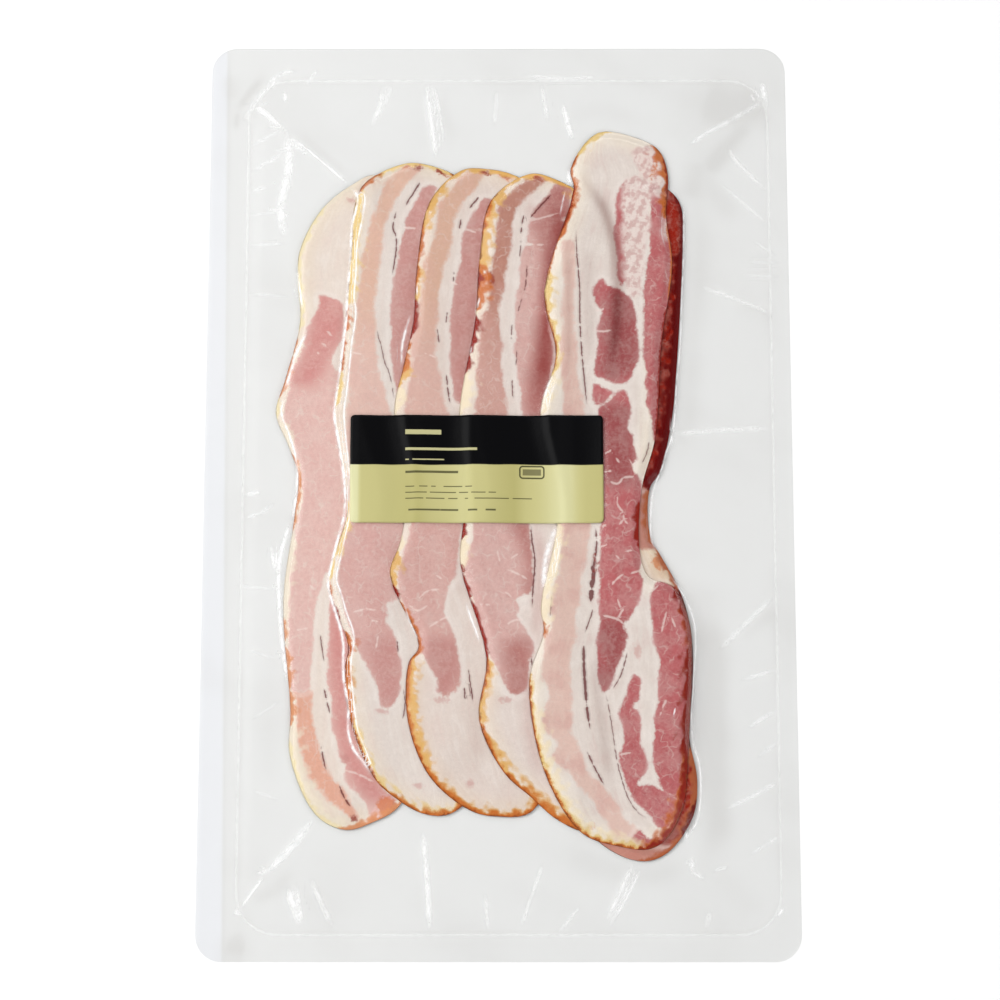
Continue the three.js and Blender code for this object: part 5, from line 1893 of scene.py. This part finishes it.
def patch_share(nodes):
    """Where the framed patch is: its ring and its core."""
    middle = on_pack([(PATCH["x"], PATCH["y"])], LABEL_HEIGHT)[0]
    gap = outside(nodes, middle, *(PATCH[size] * PIXEL for size in ("half_width", "half_height", "corner")))
    ring = nodes.step(nodes.math("ABSOLUTE", gap), *PATCH_RING)
    return nodes.math("MAXIMUM", ring, nodes.step(gap, *PATCH_CORE))


def label_material():
    nodes = Nodes("label_look")
    # The painted lightness: shade and highlight across the label
    tone = nodes.number("tone")
    khaki = colour(*SHADED_AND_LIT_KHAKI[0])
    for limits, lighter in zip(KHAKI_SHADING_LIMITS, SHADED_AND_LIT_KHAKI[1:]):
        khaki = nodes.mix(nodes.step(tone, *limits), khaki, colour(*lighter))
    dark_marks = nodes.times(marks_share(nodes, DARK_MARKS), DARK_MARK_STRENGTH)
    khaki = nodes.mix(dark_marks, khaki, colour(*DARK_MARK_TONE))
    khaki = nodes.mix(nodes.times(patch_share(nodes), PATCH_STRENGTH), khaki, colour(*PATCH_TONE))
    black = nodes.mix(nodes.step(tone, *BLACK_SHADING_LIMITS), *(colour(*shade) for shade in SHADED_AND_LIT_BLACK))
    pale_marks = nodes.times(marks_share(nodes, PALE_MARKS), PALE_MARK_STRENGTH)
    black = nodes.mix(pale_marks, black, colour(*PALE_MARK_TONE))
    wave = nodes.times(nodes.noise(nodes.place(stretch=ALONG_X), *BORDER_WAVE), BORDER_WAVE_HEIGHT)
    border = nodes.total(nodes.axis(1), wave)
    upper = nodes.step(border, LABEL_SPLIT - BORDER_SOFTNESS, LABEL_SPLIT + BORDER_SOFTNESS)
    bumps = nodes.bump(nodes.noise(nodes.place(), *LABEL_GRAIN), *LABEL_BUMPS)
    return nodes.finish(nodes.printed_surface(nodes.mix(upper, khaki, black), LABEL_ROUGHNESS, bumps))


# The floor, in metres
FLOOR_HALF = 6.0
FLOOR_HEIGHT = -MM / 10
FLOOR_TONE = 0.99


def make_floor():
    """A white floor, which is wide and a little under the pack."""
    mesh = bpy.data.meshes.new("floor")
    signs = ((-1, -1), (1, -1), (1, 1), (-1, 1))
    corners = [(x * FLOOR_HALF, y * FLOOR_HALF, FLOOR_HEIGHT) for x, y in signs]
    mesh.from_pydata(corners, [], [(0, 1, 2, 3)])
    floor = bpy.data.objects.new("floor", mesh)
    bpy.context.scene.collection.objects.link(floor)
    nodes = Nodes("floor_look")
    surface = nodes.add("ShaderNodeBsdfDiffuse")
    surface.inputs["Color"].default_value = grey(FLOOR_TONE)
    floor.data.materials.append(nodes.finish(surface))


def make_camera():
    data = bpy.data.cameras.new("camera")
    data.sensor_width = SENSOR_WIDTH
    data.lens = FOCAL_PIXELS / PHOTO_SIZE * SENSOR_WIDTH
    data.dof.use_dof = False
    camera = bpy.data.objects.new("camera", data)
    bpy.context.scene.collection.objects.link(camera)
    camera.location = (CAMERA_PLACE * MM).tolist()
    camera.rotation_euler = (CAMERA_TILT, 0.0, 0.0)
    bpy.context.scene.camera = camera


# Lamps: place and (width, height) in metres, and how bright they look
LAMPS = {
    "key": ((-0.85, 0.30, 1.10), (1.0, 1.0), 3.75),
    "left": ((-0.95, 0.0, 0.52), (0.8, 0.25), 4.8),
    "fill": ((0.95, -0.75, 0.95), (1.2, 1.2), 2.3),
    "far": ((0.05, 1.05, 0.58), (0.8, 0.2), 3.8),
}
WORLD_STRENGTH = 0.29


def area_light(name, place, size, radiance):
    """A rectangular lamp of (width, height) in metres that faces the pack, as bright whatever its size."""
    data = bpy.data.lights.new(name, "AREA")
    data.shape = "RECTANGLE"
    data.size, data.size_y = size
    data.energy = radiance * math.pi * size[0] * size[1]
    lamp = bpy.data.objects.new(name, data)
    bpy.context.scene.collection.objects.link(lamp)
    lamp.location = place
    lamp.rotation_euler = (-Vector(place)).to_track_quat("-Z", "Y").to_euler()


def make_light():
    world = bpy.data.worlds.new("studio")
    world.use_nodes = True
    background = world.node_tree.nodes["Background"]
    background.inputs["Color"].default_value = grey(1.0)
    background.inputs["Strength"].default_value = WORLD_STRENGTH
    bpy.context.scene.world = world
    for name, lamp in LAMPS.items():
        area_light(name, *lamp)
    bpy.context.scene.view_settings.view_transform = "Standard"
    bpy.context.scene.view_settings.look = "None"


def finish_piece(piece, material, node):
    piece.data.materials.append(material)
    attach(piece, "root")
    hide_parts(node)


make_camera()
make_light()
make_floor()
for slice_name in SLICES:
    finish_piece(build_slice(slice_name), bacon_material(slice_name), slice_name)
finish_piece(build_film(), film_material(), "film_pack")
finish_piece(build_label(), label_material(), "label")

bpy.context.view_layer.update()
